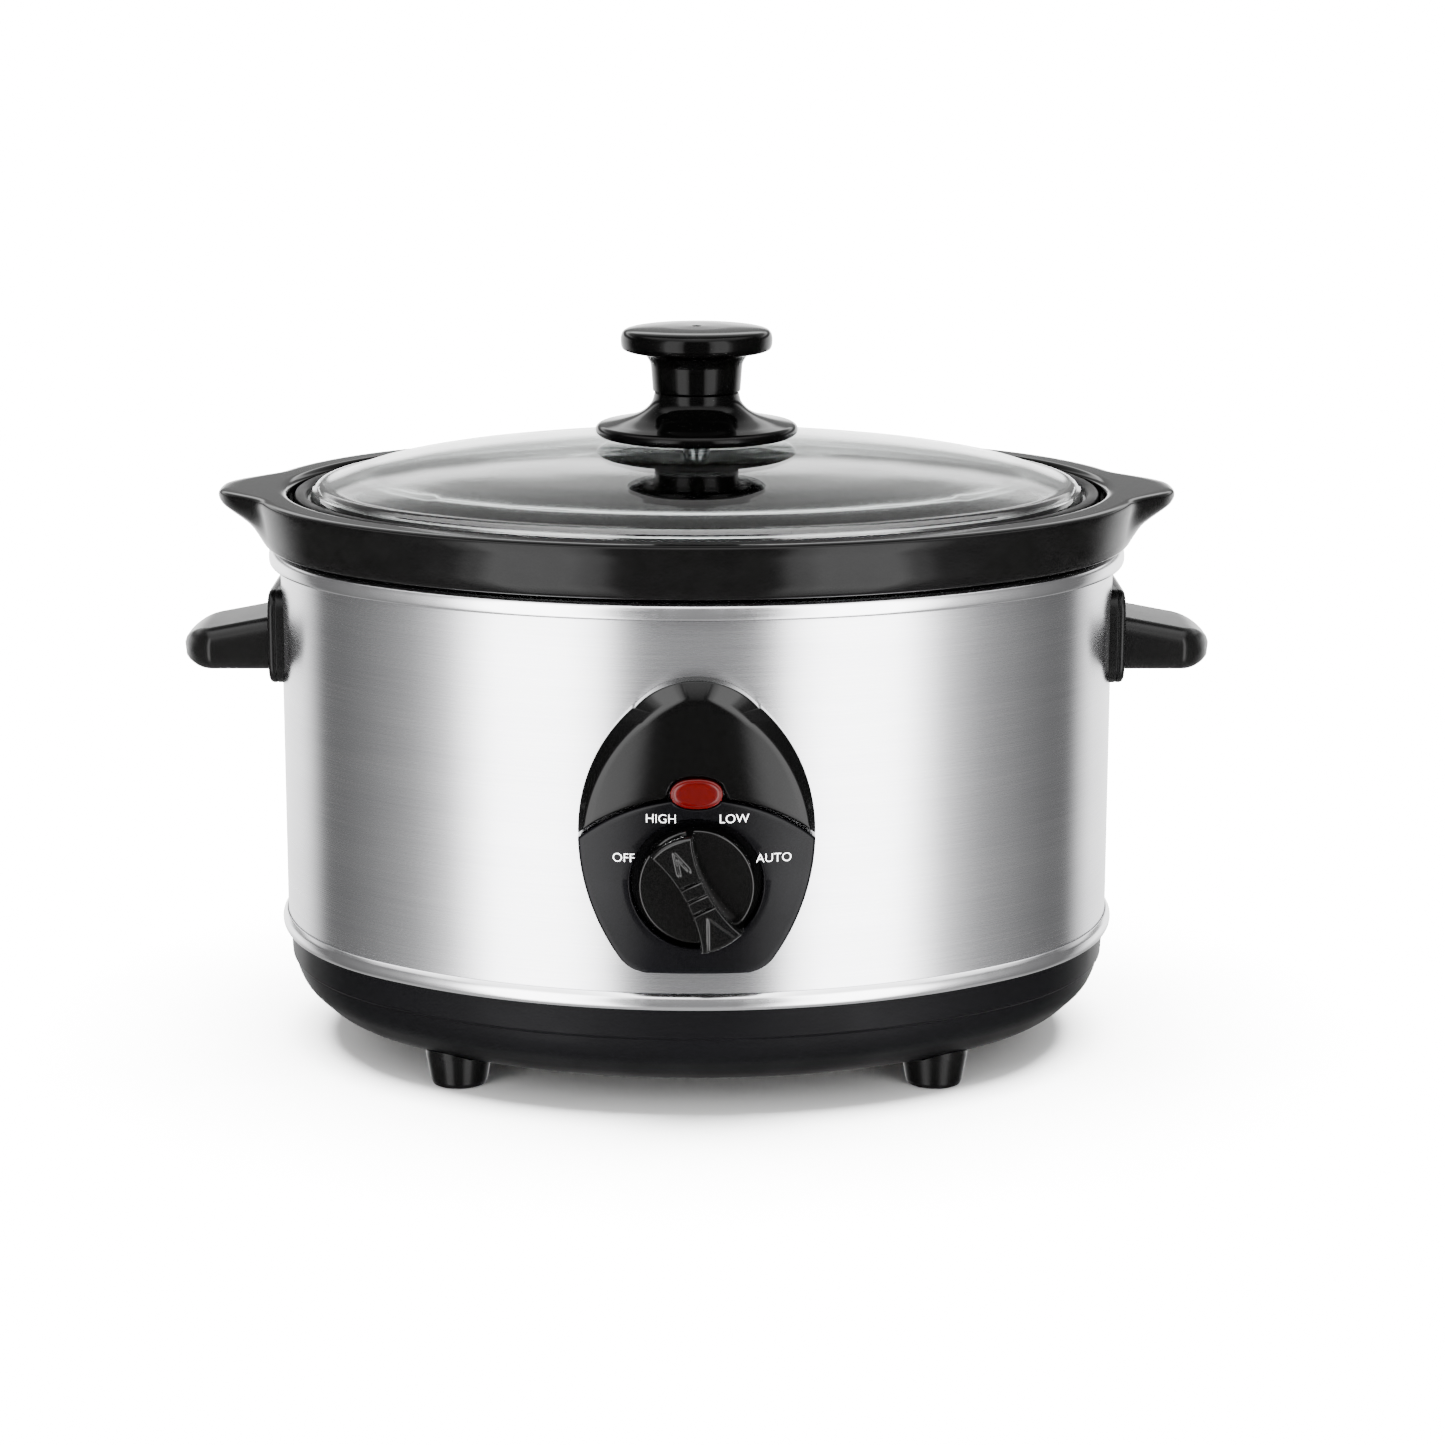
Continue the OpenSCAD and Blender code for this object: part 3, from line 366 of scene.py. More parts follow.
tree, shader, place = finish("legend_ink", "white pad-print ink", "#F2F2F2", Roughness=0.5)
speckle = add(tree, "TexNoise", {"Vector": stretched(tree, place, 0.5, 0.5, 0.5), "Scale": 1.0})
ink = add(tree, "Mix", {"Factor": speckle.outputs[0], "A": linear("#FFFFFF"),
                        "B": linear("#DADADA")}, data_type="RGBA")
tree.links.new(ink.outputs["Result"], shader.inputs["Base Color"])
print("finishes:", ", ".join(sorted(FINISHES)))

# %% [markdown]
# ## Putting a piece on the frame
# One function turns points and faces into an object, gives it its finish, hangs it on the body it
# rides on and hides the CAD node that it stands for. Normals are weighted by face size, so
# flat faces stay flat and only the softened corners bend the light. The CAD nodes that no piece
# stands for keep their own meshes and only get a finish here.


# %% Make a piece
def make_piece(name, body, slot, parts, stands_for=(), sharp=40):
    mesh = bpy.data.meshes.new(name)
    points, faces, start = [], [], 0
    for part_points, part_faces in parts:
        points.append(np.asarray(part_points, float) * MM)
        faces += [tuple(start + i for i in f) for f in part_faces]
        start += len(part_points)
    mesh.from_pydata(np.concatenate(points).tolist(), [], faces)
    work = bmesh.new()
    work.from_mesh(mesh)
    bmesh.ops.recalc_face_normals(work, faces=work.faces)
    work.to_mesh(mesh)
    work.free()
    mesh.shade_smooth()
    mesh.set_sharp_from_angle(angle=math.radians(sharp))
    mesh.materials.append(FINISHES[slot])
    piece = bpy.data.objects.new(name, mesh)
    bpy.context.scene.collection.objects.link(piece)
    weighted = piece.modifiers.new("face weighted normals", "WEIGHTED_NORMAL")
    weighted.keep_sharp = True
    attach(piece, body)
    if stands_for:
        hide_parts(*stands_for)
    print(f"{name}: {len(mesh.vertices)} points")
    return piece


for row in frame["record"]["subparts"]:
    cad_mesh = frame["nodes"][row["node"]].data
    cad_mesh.materials.clear()
    cad_mesh.materials.append(FINISHES[row["material_slot"]])

# %% [markdown]
# ## Steel wrap and its two beads
# The wrap is a thin oval tube. The lower bead is a rolled ring and the upper bead is the rim of
# the heating pan, rolled over the wrap's edge. Each is one profile swept round the oval; the
# bead's corners are softened so much that it ends up almost round. A curve with a bevel object
# would sweep them as well, but points keep the four arcs exact and the wrap flush with both.

# %% Wrap, bead and pan
wrap = [(half_len, shell_low[2], 0.2), (half_len, shell_high[2], 0.2),
        (half_len - 0.8, shell_high[2], 0.2), (half_len - 0.8, shell_low[2], 0.2)]
make_piece("steel_wrap", "housing", "brushed_wrap",
           [skin([oval_ring(a, z) for a, z in soften(wrap, True, 2)], True)], ["outer_shell"])

z0, z1 = ring_low[2], ring_high[2]
bead = [(half_len - 3, z0, 0), (half_len + 0.9, z0, 0.7), (half_len + 1.9, z0 + 1.6, 1.1),
        (half_len + 1.9, z1 - 2, 1.4), (half_len + 0.3, z1, 0.5), (half_len + 0.1, z1 - 0.4, 0),
        (half_len + 0.1, shell_low[2] - 0.1, 0), (half_len - 3, shell_low[2] - 0.1, 0)]
make_piece("lower_bead", "housing", "polished_bead",
           [skin([oval_ring(a, z) for a, z in soften(bead, True)], True)], ["lower_trim_ring"])

pan_out = half_len - 10
top = pan_high[2]
base = pan_low[2]
roll = half_len - 1
rolled = [(pan_out - 12, base, 0), (pan_out - 1, base, 8), (pan_out, base + 8, 4),
          (pan_out, top - 7.4, 1), (pan_out + 4, top - 3.6, 2), (roll - 1, top - 1, 1.5),
          (roll + 3, top - 1.6, 2), (roll + 3.6, top - 4, 1), (roll + 3.2, top - 7, 0.3),
          (roll + 4.9, top - 6.6, 1.5), (roll + 4.9, top - 2, 2.4), (roll + 1.5, top, 2.4),
          (roll - 2, top, 2), (pan_out + 3, top - 3.2, 2), (pan_out - 1, top - 7.2, 1),
          (pan_out - 1, base + 8, 4), (pan_out - 2, base + 1, 7), (pan_out - 12, base + 1, 0)]
rings = [oval_ring(a, z) for a, z in soften(rolled)]
pan = make_piece("pan_with_rolled_rim", "housing", "pan_metal", [skin(rings)], ["heating_pan"])
pan.data.materials.append(FINISHES["polished_bead"])
for face in pan.data.polygons:
    face.material_index = int(face.center[2] > (top - 8.2) * MM)

# %% [markdown]
# ## Base tray
# The tray is one black moulding. A crease about a third of the way down marks where the mould
# parts, so the wall above is nearly upright and the wall below curves in to the flat bottom.
# Bevelling a block would blur that crease, so the profile draws it with two close points.

# %% Base tray
low, lip = tray_low[2], tray_high[2]
edge = ring_low[2] - 0.1
tray = [(half_len - 60, low, 0), (half_len - 19.5, low, 4), (half_len - 12.6, low + 3.8, 3.4),
        (half_len - 5, low + 11.2, 3), (half_len - 2.9, low + 16.2, 2),
        (half_len - 2.1, low + 19.4, 0.3), (half_len - 1.3, low + 20.2, 0.4),
        (half_len - 1, low + 24, 2), (half_len - 0.8, edge, 0.5),
        (half_len - 3.2, edge, 0.3), (half_len - 3.2, lip, 0.3), (half_len - 5.4, lip, 0.3),
        (half_len - 5.4, edge - 4, 1), (half_len - 8.6, low + 13, 3), (half_len - 16, low + 6, 3),
        (half_len - 21.5, low + 2.5, 2), (half_len - 60, low + 2.5, 0)]
make_piece("base_moulding", "housing", "base_plastic",
           [skin([oval_ring(a, z) for a, z in soften(tray)])], ["base_tray"])

# %% [markdown]
# ## Stoneware crock
# The crock is slip cast, so everything on it is soft. Its flange carries an ear at each end:
# the third number of each profile point says how much of the ear shows at that height. One
# profile does for the whole rim, and the ears grow out of it. Ears joined on as blocks would
# need a blend all round, which one skin has already.

# %% Crock
rim_out = crock_high[1] + 2 * oval_s
ear_reach = crock_high[0] - rim_out
rim_in = half_len - 3
flange, rim, foot = top + 0.3, crock_high[2], crock_low[2]
ledge = rim - 7
wall_out = half_len - 14
wall_in = wall_out - 6
crock = [(4, foot, 0, 0), (wall_out - 14, foot, 0, 4), (wall_out - 3.4, foot + 6, 0, 8),
         (wall_out - 1.2, foot + 50, 0, 10), (wall_out, flange - 3, 0, 2),
         (wall_out + 2, flange, 0, 1.4),
         (rim_out - 3.4, flange, 0, 1.4), (rim_out - 2.2, flange + 3.4, 0.12, 1.5),
         (rim_out - 1.8, flange + 6.5, 0.3, 1.6), (rim_out - 1.2, flange + 10, 0.68, 1.7),
         (rim_out - 0.7, flange + 12.6, 0.94, 1.3), (rim_out - 0.1, rim - 2.9, 1, 1.2),
         (rim_out - 0.1, rim - 0.6, 1, 1.1), (rim_out - 2.4, rim, 0.9, 1.4),
         (rim_out - 5, rim, 0.6, 2), (rim_in + 1.4, rim, 0, 1.2), (rim_in, rim - 1.3, 0, 1.1),
         (rim_in - 1, ledge, 0, 0.8), (wall_in + 2.4, ledge, 0, 2.4), (wall_in, ledge - 8, 0, 6),
         (wall_in - 1.6, foot + 30, 0, 8), (wall_in - 5, foot + 8, 0, 10),
         (wall_in - 18, foot + 6.6, 0, 4), (4, foot + 6.6, 0, 0)]


def crock_ring(p):
    """An oval that is too small to offset is a scaled copy of the smallest one that isn't."""
    a, z, reach = p
    smallest = end_c + 8
    if a < smallest:
        return oval_ring(smallest, z, 0, a / smallest)
    return oval_ring(a, z, reach)


make_piece("glazed_crock", "crock", "black_glaze",
           [skin([crock_ring(p) for p in soften(crock, steps=6)])], ["stoneware_crock"], 60)

# %% [markdown]
# ## Glass lid and its seal
# The glass is one sagged sheet with a flat margin that a silicone seal grips. Its rings shrink
# by scale and not by offset, as a sheet that sagged over an oval ring does. A solidify modifier
# would give it thickness; a second skin, offset along the slope, lets the rim be the thinner.

# %% Glass and seal
glass_low, glass_high = box_mm("lid_glass")
seal_low, seal_high = box_mm("lid_rim_seal")
glass_a, glass_z = glass_high[0], glass_low[2]
glass_t = 2.6
rise = glass_high[2] - glass_z - glass_t
dome = [(1.0, 0.0), (0.978, 0.0), (0.976, 0.12), (0.97, 0.19), (0.935, 0.28), (0.86, 0.47),
        (0.74, 0.66), (0.58, 0.82), (0.4, 0.93), (0.2, 0.985), (0.03, 1.0)]
spots = np.array(dome)[::-1]
fine = np.unique(np.concatenate([np.linspace(0.03, 0.97, 40), np.linspace(0.93, 1.0, 12)]))


def smooth_curve(x, xs, ys):
    """A curve through points that keeps their slopes gentle."""
    slopes = np.gradient(ys, xs)
    i = np.clip(np.searchsorted(xs, x) - 1, 0, len(xs) - 2)
    h = xs[i + 1] - xs[i]
    t = (x - xs[i]) / h
    return ((2 * t ** 3 - 3 * t ** 2 + 1) * ys[i] + (t ** 3 - 2 * t ** 2 + t) * h * slopes[i]
            + (3 * t ** 2 - 2 * t ** 3) * ys[i + 1] + (t ** 3 - t ** 2) * h * slopes[i + 1])


height = np.clip(smooth_curve(fine, spots[:, 0], spots[:, 1]), 0, 1)
upper = [oval_ring(glass_a, glass_z + glass_t + rise * h, 0, s) for s, h in zip(fine, height)]
slope = np.gradient(rise * height, glass_a * fine)
thick = glass_t + 0.8 * np.clip((1 - fine) * 6, 0, 1)
lower = [oval_ring(glass_a, glass_z + glass_t + rise * h - t / math.sqrt(1 + g * g), 0,
                   max(0.03, s + t * g / math.sqrt(1 + g * g) / glass_a))
         for s, h, g, t in zip(fine, height, slope, thick)]
make_piece("glass_dome", "lid", "clear_glass",
           [skin(upper[::-1] + lower, True)], ["lid_glass"])

seal_out = seal_high[1] + 2 * oval_s
z0, z1 = seal_low[2], seal_high[2]
g0, g1 = glass_z - 0.1, glass_z + 2.7
seal = [(seal_out - 4.7, z0, 0.3), (seal_out, z0, 0.7), (seal_out, z1, 1.4),
        (seal_out - 3.6, z1, 1.4), (seal_out - 4.5, g1, 0.2), (glass_a + 0.4, g1, 0),
        (glass_a + 0.4, g0, 0), (seal_out - 4.7, g0, 0)]
make_piece("rim_seal", "lid", "black_seal",
           [skin([oval_ring(a, z) for a, z in soften(seal, True)], True)], ["lid_rim_seal"])

# %% [markdown]
# ## Lid knob
# The knob is two turned-looking mouldings of polished phenolic, held by one screw from below.
# A narrow groove between them catches a dark line. Both are profiles spun round the upright axis,
# which a screw modifier does too, but the rings share the helper that made the ovals.

# %% Knob
base_low = box_mm("lid_knob_base")[0]
cap_low, cap_high = box_mm("lid_knob_cap")
z = base_low[2]
split = cap_low[2] - 0.3
knob_base = [(2.4, z, 0), (33.4, z, 1), (35.5, z + 1.6, 1.6), (34.6, z + 3.9, 1.4),
             (27, z + 5.3, 3), (19.4, z + 7.6, 4), (15.4, z + 11.4, 3.4), (14.6, split, 0.4),
             (10, split, 0), (10, split + 3, 0), (2.4, split + 3, 0)]
make_piece("knob_flange", "lid", "lid_plastic",
           [skin([disc_ring(r, h) for r, h in soften(knob_base, True, 6)], True)],
           ["lid_knob_base"])
t, z, r = cap_high[2], cap_low[2], cap_high[0]
knob_cap = [(0.2, z + 0.4, 0), (10.2, z + 0.4, 0), (10.2, z, 0), (15.2, z, 0.5),
            (15.8, z + 8, 4), (16, t - 12.4, 2), (18.4, t - 9, 3), (r - 2, t - 8.6, 2.2),
            (r + 0.1, t - 7.4, 2.6), (r, t - 1.8, 2.8), (r - 3.6, t - 0.6, 4),
            (r - 12, t - 0.1, 4), (1.5, t, 0.5), (1.0, t - 0.7, 0.4), (0.2, t - 0.9, 0)]
make_piece("knob_disc", "lid", "lid_plastic",
           [skin([disc_ring(r, h) for r, h in soften(knob_cap, False, 6)])], ["lid_knob_cap"])

# %% [markdown]
# ## Control panel
# The panel is an egg that hugs the wrap: a satin fascia below, a gloss cover above, and a red
# lens over the joint. Each moulding is found by casting rays from a point inside it to its edge,
# once for each step of the rounded edge. The rings then lie on the panel's own cylinder, swollen
# back a little towards the sides and the top as an egg is. A boolean cut would be quicker to
# write, but it leaves facets that show in the gloss.

# %% Panel outline
fascia_low = box_mm("control_fascia")[0]
cover_low, cover_high = box_mm("panel_cover")
lens_low, lens_high = box_mm("indicator_lens")
panel_z = fascia_low[2]
dial_z = frame["record"]["behaviour"]["joints"][0]["pos_m"][2] / MM
lens_z = (lens_low[2] + lens_high[2]) / 2
lens_w, lens_h = lens_high[0] - lens_low[0], lens_high[2] - lens_low[2]
panel_r = side_c - min(fascia_low[1], cover_low[1])
joint_z, joint_r = panel_z - 2, 60.0
print(f"panel {cover_high[2] - panel_z:.1f} mm tall, on a cylinder of radius {panel_r:.1f}")


egg_mid = 45.6
side_x, side_r = 31.8, 70
shoulder_x, shoulder_r = 18.1, 56.3
tip_from, tip_z, tip_r = 86.6, 70.4, 25.6
corner_x, corner_r = 15.5, 12


def panel_y(x, depth=0.0):
    return side_c - np.sqrt(panel_r ** 2 - np.asarray(x) ** 2) + depth


def in_egg(x, z, d=0.0, drop=0.0):
    v = z - panel_z + drop
    u = np.abs(x)
    wide = np.hypot(u + side_x, v - egg_mid) <= side_r - d
    tall = np.hypot(u + shoulder_x, v - egg_mid) <= shoulder_r - d
    tip = (v < tip_from) | (np.hypot(u, v - tip_z) <= tip_r - d)
    corner = ((v >= 5.1 + 0.58 * d) | (u <= corner_x)
              | (np.hypot(u - corner_x, v - corner_r) <= corner_r - d))
    return np.where(v < egg_mid, wide & corner & (v >= d), tall & tip)


LENS_POWER = 2.25


def in_lens(x, z, grow):
    """A superellipse: a power of 2 is an ellipse, and a higher one is squarer."""
    u, v = np.abs(x) / (lens_w / 2 + grow), np.abs(z - lens_z) / (lens_h / 2 + grow)
    return u ** LENS_POWER + v ** LENS_POWER <= 1


def cast(inside, centre, angles, far=90.0):
    """The edge of a region, seen from a point inside it."""
    near, out = np.zeros(len(angles)), np.full(len(angles), far)
    for _ in range(30):
        mid = (near + out) / 2
        hit = inside(centre[0] + mid * np.cos(angles), centre[1] + mid * np.sin(angles))
        near, out = np.where(hit, mid, near), np.where(hit, out, mid)
    return np.column_stack([centre[0] + near * np.cos(angles), centre[1] + near * np.sin(angles)])


MOST_SWELL = 2.6


def swell(x, z):
    """How far the panel's face falls back from the cylinder, so that it swells like an egg."""
    up = np.clip((z - panel_z - 45) / 50, 0, 1)
    fall = 0.5 * np.asarray(x) ** 2 * (1 / (112 - 52 * up) - 1 / panel_r)
    return MOST_SWELL * (1 - np.exp(-fall / MOST_SWELL))


def on_panel(flat, depth, swollen=1.0):
    x, z = flat[:, 0], flat[:, 1]
    return np.column_stack([x, panel_y(x, depth) + swollen * swell(x, z), z])


def between(a, b, shares):
    return [a * (1 - s) + b * s for s in shares]


# %% Fascia
rays = np.linspace(0, 2 * math.pi, 720, endpoint=False)
spot = (0.0, dial_z)
recess_r, recess_y = 21.3, -front_y - 3.5


def fascia_edge(d):
    return cast(lambda x, z: in_egg(x, z, d) & (np.hypot(x, z - joint_z) <= joint_r - 0.3 - d)
                & ~in_lens(x, z, 0.2 + d), spot, rays)


def circle_at(r):
    return np.column_stack([r * np.cos(rays), dial_z + r * np.sin(rays)])


back = 9.6
rings = [on_panel(f, back, 0) for f in between(circle_at(4.1), fascia_edge(0), (0, 0.3, 0.6, 1))]
rings += [on_panel(fascia_edge(d), depth) for d, depth in
          ((0, 4), (0, 0.9), (0.12, 0.45), (0.4, 0.12), (0.9, 0))]
rings += [on_panel(f, 0) for f in between(fascia_edge(0.9), circle_at(recess_r + 0.9),
                                          (0.1, 0.25, 0.4, 0.55, 0.7, 0.85, 1))]
rings += [on_panel(circle_at(recess_r + d), depth) for d, depth in
          ((0.5, 0.1), (0.15, 0.4), (0, 0.9))]
for r in (recess_r, recess_r - 0.4, 15.0, 4.1):
    rim_flat = circle_at(r)
    rings.append(np.column_stack([rim_flat[:, 0], np.full(len(rays), recess_y + (
        -0.5 if r == recess_r else 0)), rim_flat[:, 1]]))
make_piece("satin_fascia", "housing", "panel_satin", [skin(rings, True)], ["control_fascia"])

# %% Cover
spot_c = (0.0, panel_z + 83.5)


def cover_edge(d, drop=0.0, egg_d=None):
    egg_d = d if egg_d is None else egg_d
    return cast(lambda x, z: in_egg(x, z, egg_d) & in_egg(x, z, egg_d, drop)
                & (np.hypot(x, z - joint_z) >= joint_r + 0.3 + d) & ~in_lens(x, z, 0.2 + d),
                spot_c, rays)


def towards_spot(edge, shares):
    return between(edge, np.array(spot_c), shares)


rings = [on_panel(f, back, 0) for f in towards_spot(cover_edge(0), (0.99, 0.6, 0.3, 0))]
rings += [on_panel(cover_edge(0), 4), on_panel(cover_edge(0), 3.4),
          on_panel(cover_edge(0.12), 3.0), on_panel(cover_edge(0.4), 2.75)]
rings += [on_panel(cover_edge(0.45, 4.0, 1.0), 0.75), on_panel(cover_edge(0.6, 4.4, 1.3), 0.35),
          on_panel(cover_edge(0.8, 4.8, 1.6), 0.1), on_panel(cover_edge(1.1, 5.3, 2.0), 0)]
inner = cover_edge(1.1, 5.3, 2.0)
rings += [on_panel(f, 0) for f in towards_spot(inner, (0.08, 0.18, 0.3, 0.42, 0.55, 0.68, 0.8,
                                                       0.9, 0.97, 0.99))]
make_piece("gloss_cover", "housing", "panel_gloss", [skin(rings)], ["panel_cover"])

# %% [markdown]
# ## Red lens and the dial's words
# The lens is a low pillow moulded in red. The words are pad printed, so they are a skin of ink a
# few hundredths of a millimetre thick; here they are cut from the built-in font and laid on the
# panel's curve. A painted texture would need no mesh, but it goes soft up close.


# %% Lens
def lozenge(w, h, count=120):
    angle = 2 * math.pi * np.arange(count) / count
    c, s = np.cos(angle), np.sin(angle)
    bulge = 2 / LENS_POWER
    return np.column_stack([np.sign(c) * np.abs(c) ** bulge * w / 2,
                            lens_z + np.sign(s) * np.abs(s) ** bulge * h / 2])


steps = [(0, 8.5), (0, 0.2), (0.1, -0.15), (0.35, -0.34), (0.7, -0.36), (0.95, -0.2), (1.2, -0.36),
         (1.8, -0.44), (3, -0.49), (4.6, -0.5)]
rings = [on_panel(lozenge(lens_w - 2 * d, lens_h - 2 * d), depth) for d, depth in steps]
make_piece("red_window", "housing", "red_lens", [skin(rings)], ["indicator_lens"])


# %% Dial words
def word(text, x, z, cap=2.9):
    curve = bpy.data.curves.new("word_" + text.lower(), "FONT")
    curve.body = text
    curve.size = cap / 0.7
    curve.align_x, curve.align_y = "CENTER", "CENTER"
    curve.extrude, curve.offset = 0.03, -0.035
    curve.resolution_u = 6
    source = bpy.data.objects.new("word_source", curve)
    bpy.context.scene.collection.objects.link(source)
    bpy.context.view_layer.update()
    flat = bpy.data.meshes.new_from_object(
        source.evaluated_get(bpy.context.evaluated_depsgraph_get()))
    points = np.array([v.co for v in flat.vertices])
    faces = [tuple(f.vertices) for f in flat.polygons]
    bpy.data.objects.remove(source)
    bpy.data.curves.remove(curve)
    bpy.data.meshes.remove(flat)
    points -= (points.min(axis=0) + points.max(axis=0)) / 2
    px, pz = x + points[:, 0], z + points[:, 1]
    return np.column_stack([px, panel_y(px) + swell(px, pz) - 0.02 - points[:, 2], pz]), faces


words = [word("OFF", -23.4, dial_z + 8.4), word("HIGH", -11.4, dial_z + 21.7),
         word("LOW", 12.1, dial_z + 21.7), word("AUTO", 24.7, dial_z + 8.4)]
make_piece("dial_words", "housing", "legend_ink", words)

# %% [markdown]
# ## Control dial
# The dial is a disc with a waisted finger grip across it. The grip is built as cross-sections
# along its length: wide at both ends, narrow in the middle, with three cross grooves at the
# waist, an arrow cut near the pointer end and a wedge hollow at the tail. Sculpting would do
# too, but sections keep the waist an exact arc.

# %% Dial
knob_low, knob_high = box_mm("control_knob")
dial_r, dial_back, dial_front, grip_front = 18.65, knob_high[1], -front_y - 13, knob_low[1]
disc = [(8, dial_back, 0), (dial_r, dial_back, 0.3), (dial_r, dial_front, 1.1),
        (dial_r - 2.2, dial_front + 0.25, 0.8), (0.3, dial_front + 0.25, 0)]
spun = []
for r, y in soften(disc, steps=6):
    angle = 2 * math.pi * np.arange(ROUND) / ROUND
    spun.append(np.column_stack([r * np.cos(angle), np.full(ROUND, y), dial_z + r * np.sin(angle)]))

point = math.radians(27)
grip_half, disc_edge = 19.4, 19.5
waist_out, waist_r = 57.8, 53.3
stations = np.unique(np.round(np.concatenate([np.linspace(-1, 1, 60), np.linspace(-0.36, 0.36, 90),
                                              np.linspace(0.9, 1, 8), -np.linspace(0.9, 1, 8)]), 4))
across = np.concatenate([np.linspace(1, 0.62, 16), np.linspace(0.6, -0.6, 30),
                         -np.linspace(0.62, 1, 16)])
rings = []
for s in stations:
    half = waist_out - math.sqrt(waist_r ** 2 - (grip_half * s) ** 2)
    x = across * half
    u = s * np.sqrt(disc_edge ** 2 - x ** 2)
    side = np.clip((1 - np.abs(across)) * half / 1.2, 0, 1)
    end = np.clip((1 - abs(s)) * grip_half / 1.5, 0, 1)
    tall = (dial_front - grip_front) - 1.3 * s * s + 0.5 * s * s * s * s
    h = tall * (1 - (1 - side) ** 2.4) ** 0.6 * (0.72 + 0.28 * (1 - (1 - end) ** 2) ** 0.5)
    for groove in (-5.2, -0.6, 4.2):
        h = h - 0.8 * np.exp(-((u - groove) / 0.4) ** 2) * (side > 0.35)
    arrow = np.exp(-((np.abs(x) - 0.26 * (15.4 - u)) / 0.4) ** 2) * (u > 8.5) * (u < 15.6)
    tail = np.clip((0.5 * (-7.5 - u) - np.abs(x)) / 0.7, 0, 1)
    h = h - 0.55 * arrow - 0.8 * tail * (2 - tail) * 0.5 - 0.3 * np.exp(-(x / (0.6 * half)) ** 2)
    h = np.maximum(h, 0)
    outline = [(xi, ui, dial_front - hi) for xi, ui, hi in zip(x, u, h)]
    outline += [(x[-1], u[-1], dial_front + 1), (x[0], u[0], dial_front + 1)]
    ring = np.array(outline)
    rings.append(np.column_stack([
        ring[:, 0] * math.cos(point) - ring[:, 1] * math.sin(point), ring[:, 2],
        dial_z + ring[:, 0] * math.sin(point) + ring[:, 1] * math.cos(point)]))
make_piece("dial_with_grip", "dial", "dial_plastic", [skin(spun), skin(rings)], ["control_knob"],
           50)

# %% [markdown]
# ## Side handles
# Each handle is a plate that hugs the end of the wrap and a tab to lift by. The tab is lofted
# through rounded rectangles that shrink towards the tip, which is how a moulded lug feels in
# the hand: no flat ends and no sharp edge.


# %% Handles
def rounded_box(wide, low_z, high_z, r, count=64):
    """A rounded rectangle in Y and Z, as count points."""
    tall = high_z - low_z
    r = min(r, wide / 2 - 0.01, tall / 2 - 0.01)
    angle = 2 * math.pi * (np.arange(count) + 0.5) / count
    c, s = np.cos(angle), np.sin(angle)
    y = np.sign(c) * (wide / 2 - r) + c * r
    z = (low_z + high_z) / 2 + np.sign(s) * (tall / 2 - r) + s * r
    return y, z


tab_half, tab_tip_r, tab_round = 20.0, 24, 9
tab_drop, tab_rise, tab_taper = 6.2, 12.6, 6.2
plate_wide, plate_half, plate_corner = 44, 16.5, 8


def handle(sign, node):
    low, high = box_mm(node)
    tip = high[0] if sign > 0 else -low[0]
    plate = half_len + 3.3
    reach = tip - plate
    foot_z = low[2] + 4.8
    mid_z = (low[2] + high[2]) / 2
    tab = []
    for s in np.concatenate([np.linspace(0, 0.55, 8), 1 - 0.45 * np.cos(
            np.linspace(0, math.pi / 2, 16)[1:])]):
        x = plate - 1 + (reach + 1) * s
        inset = tip - x
        from_tip = tab_tip_r - min(inset, tab_tip_r)
        wide = 2 * min(tab_half, math.sqrt(max(0.0, tab_tip_r ** 2 - from_tip ** 2)) + 0.02)
        full = math.sqrt(max(0.0, 1 - (1 - min(1, inset / tab_round)) ** 2))
        heart = foot_z + tab_drop
        a = heart - tab_drop * full
        b = heart + max(0.3, (tab_rise - tab_taper * s) * full)
        y, z = rounded_box(wide, a, max(b, a + 0.6), 6)
        tab.append(np.column_stack([np.full(len(y), x), y, z]))
    body = []
    for x, grow in ((half_len - 8, 0), (half_len + 0.2, 0), (half_len + 0.5, -0.35),
                    (half_len + 0.8, 0), (plate - 1.4, 0), (plate - 0.5, -0.4), (plate - 0.1, -1.2),
                    (plate, -2.2)):
        y, z = rounded_box(plate_wide + 2 * grow, mid_z - plate_half - grow,
                           mid_z + plate_half + grow, plate_corner + grow)
        body.append(np.column_stack([np.full(len(y), x), y, z]))
    parts = []
    for rings in (tab, body):
        points, faces = skin(rings)
        points[:, 0] *= sign
        parts.append((points, faces))
    return parts


make_piece("grip_left", "housing", "handle_plastic", handle(-1, "left_handle"), ["left_handle"], 60)
make_piece("grip_right", "housing", "handle_plastic", handle(1, "right_handle"), ["right_handle"],
           60)

# %% [markdown]
# ## Studio
# A pale floor that runs to the horizon, and soft light all round: two tall soft boxes in front,
# left and right, with a darker gap between them, and dark flags at both sides that draw the edges
# of the steel. Area lights would do too, but their square shapes would show in the gloss. So the
# boxes are painted into the sky as a ramp by compass direction, with a roof above the ramp and a
# second ramp, by height, behind. Reflections don't see the floor, which keeps the blacks deep.

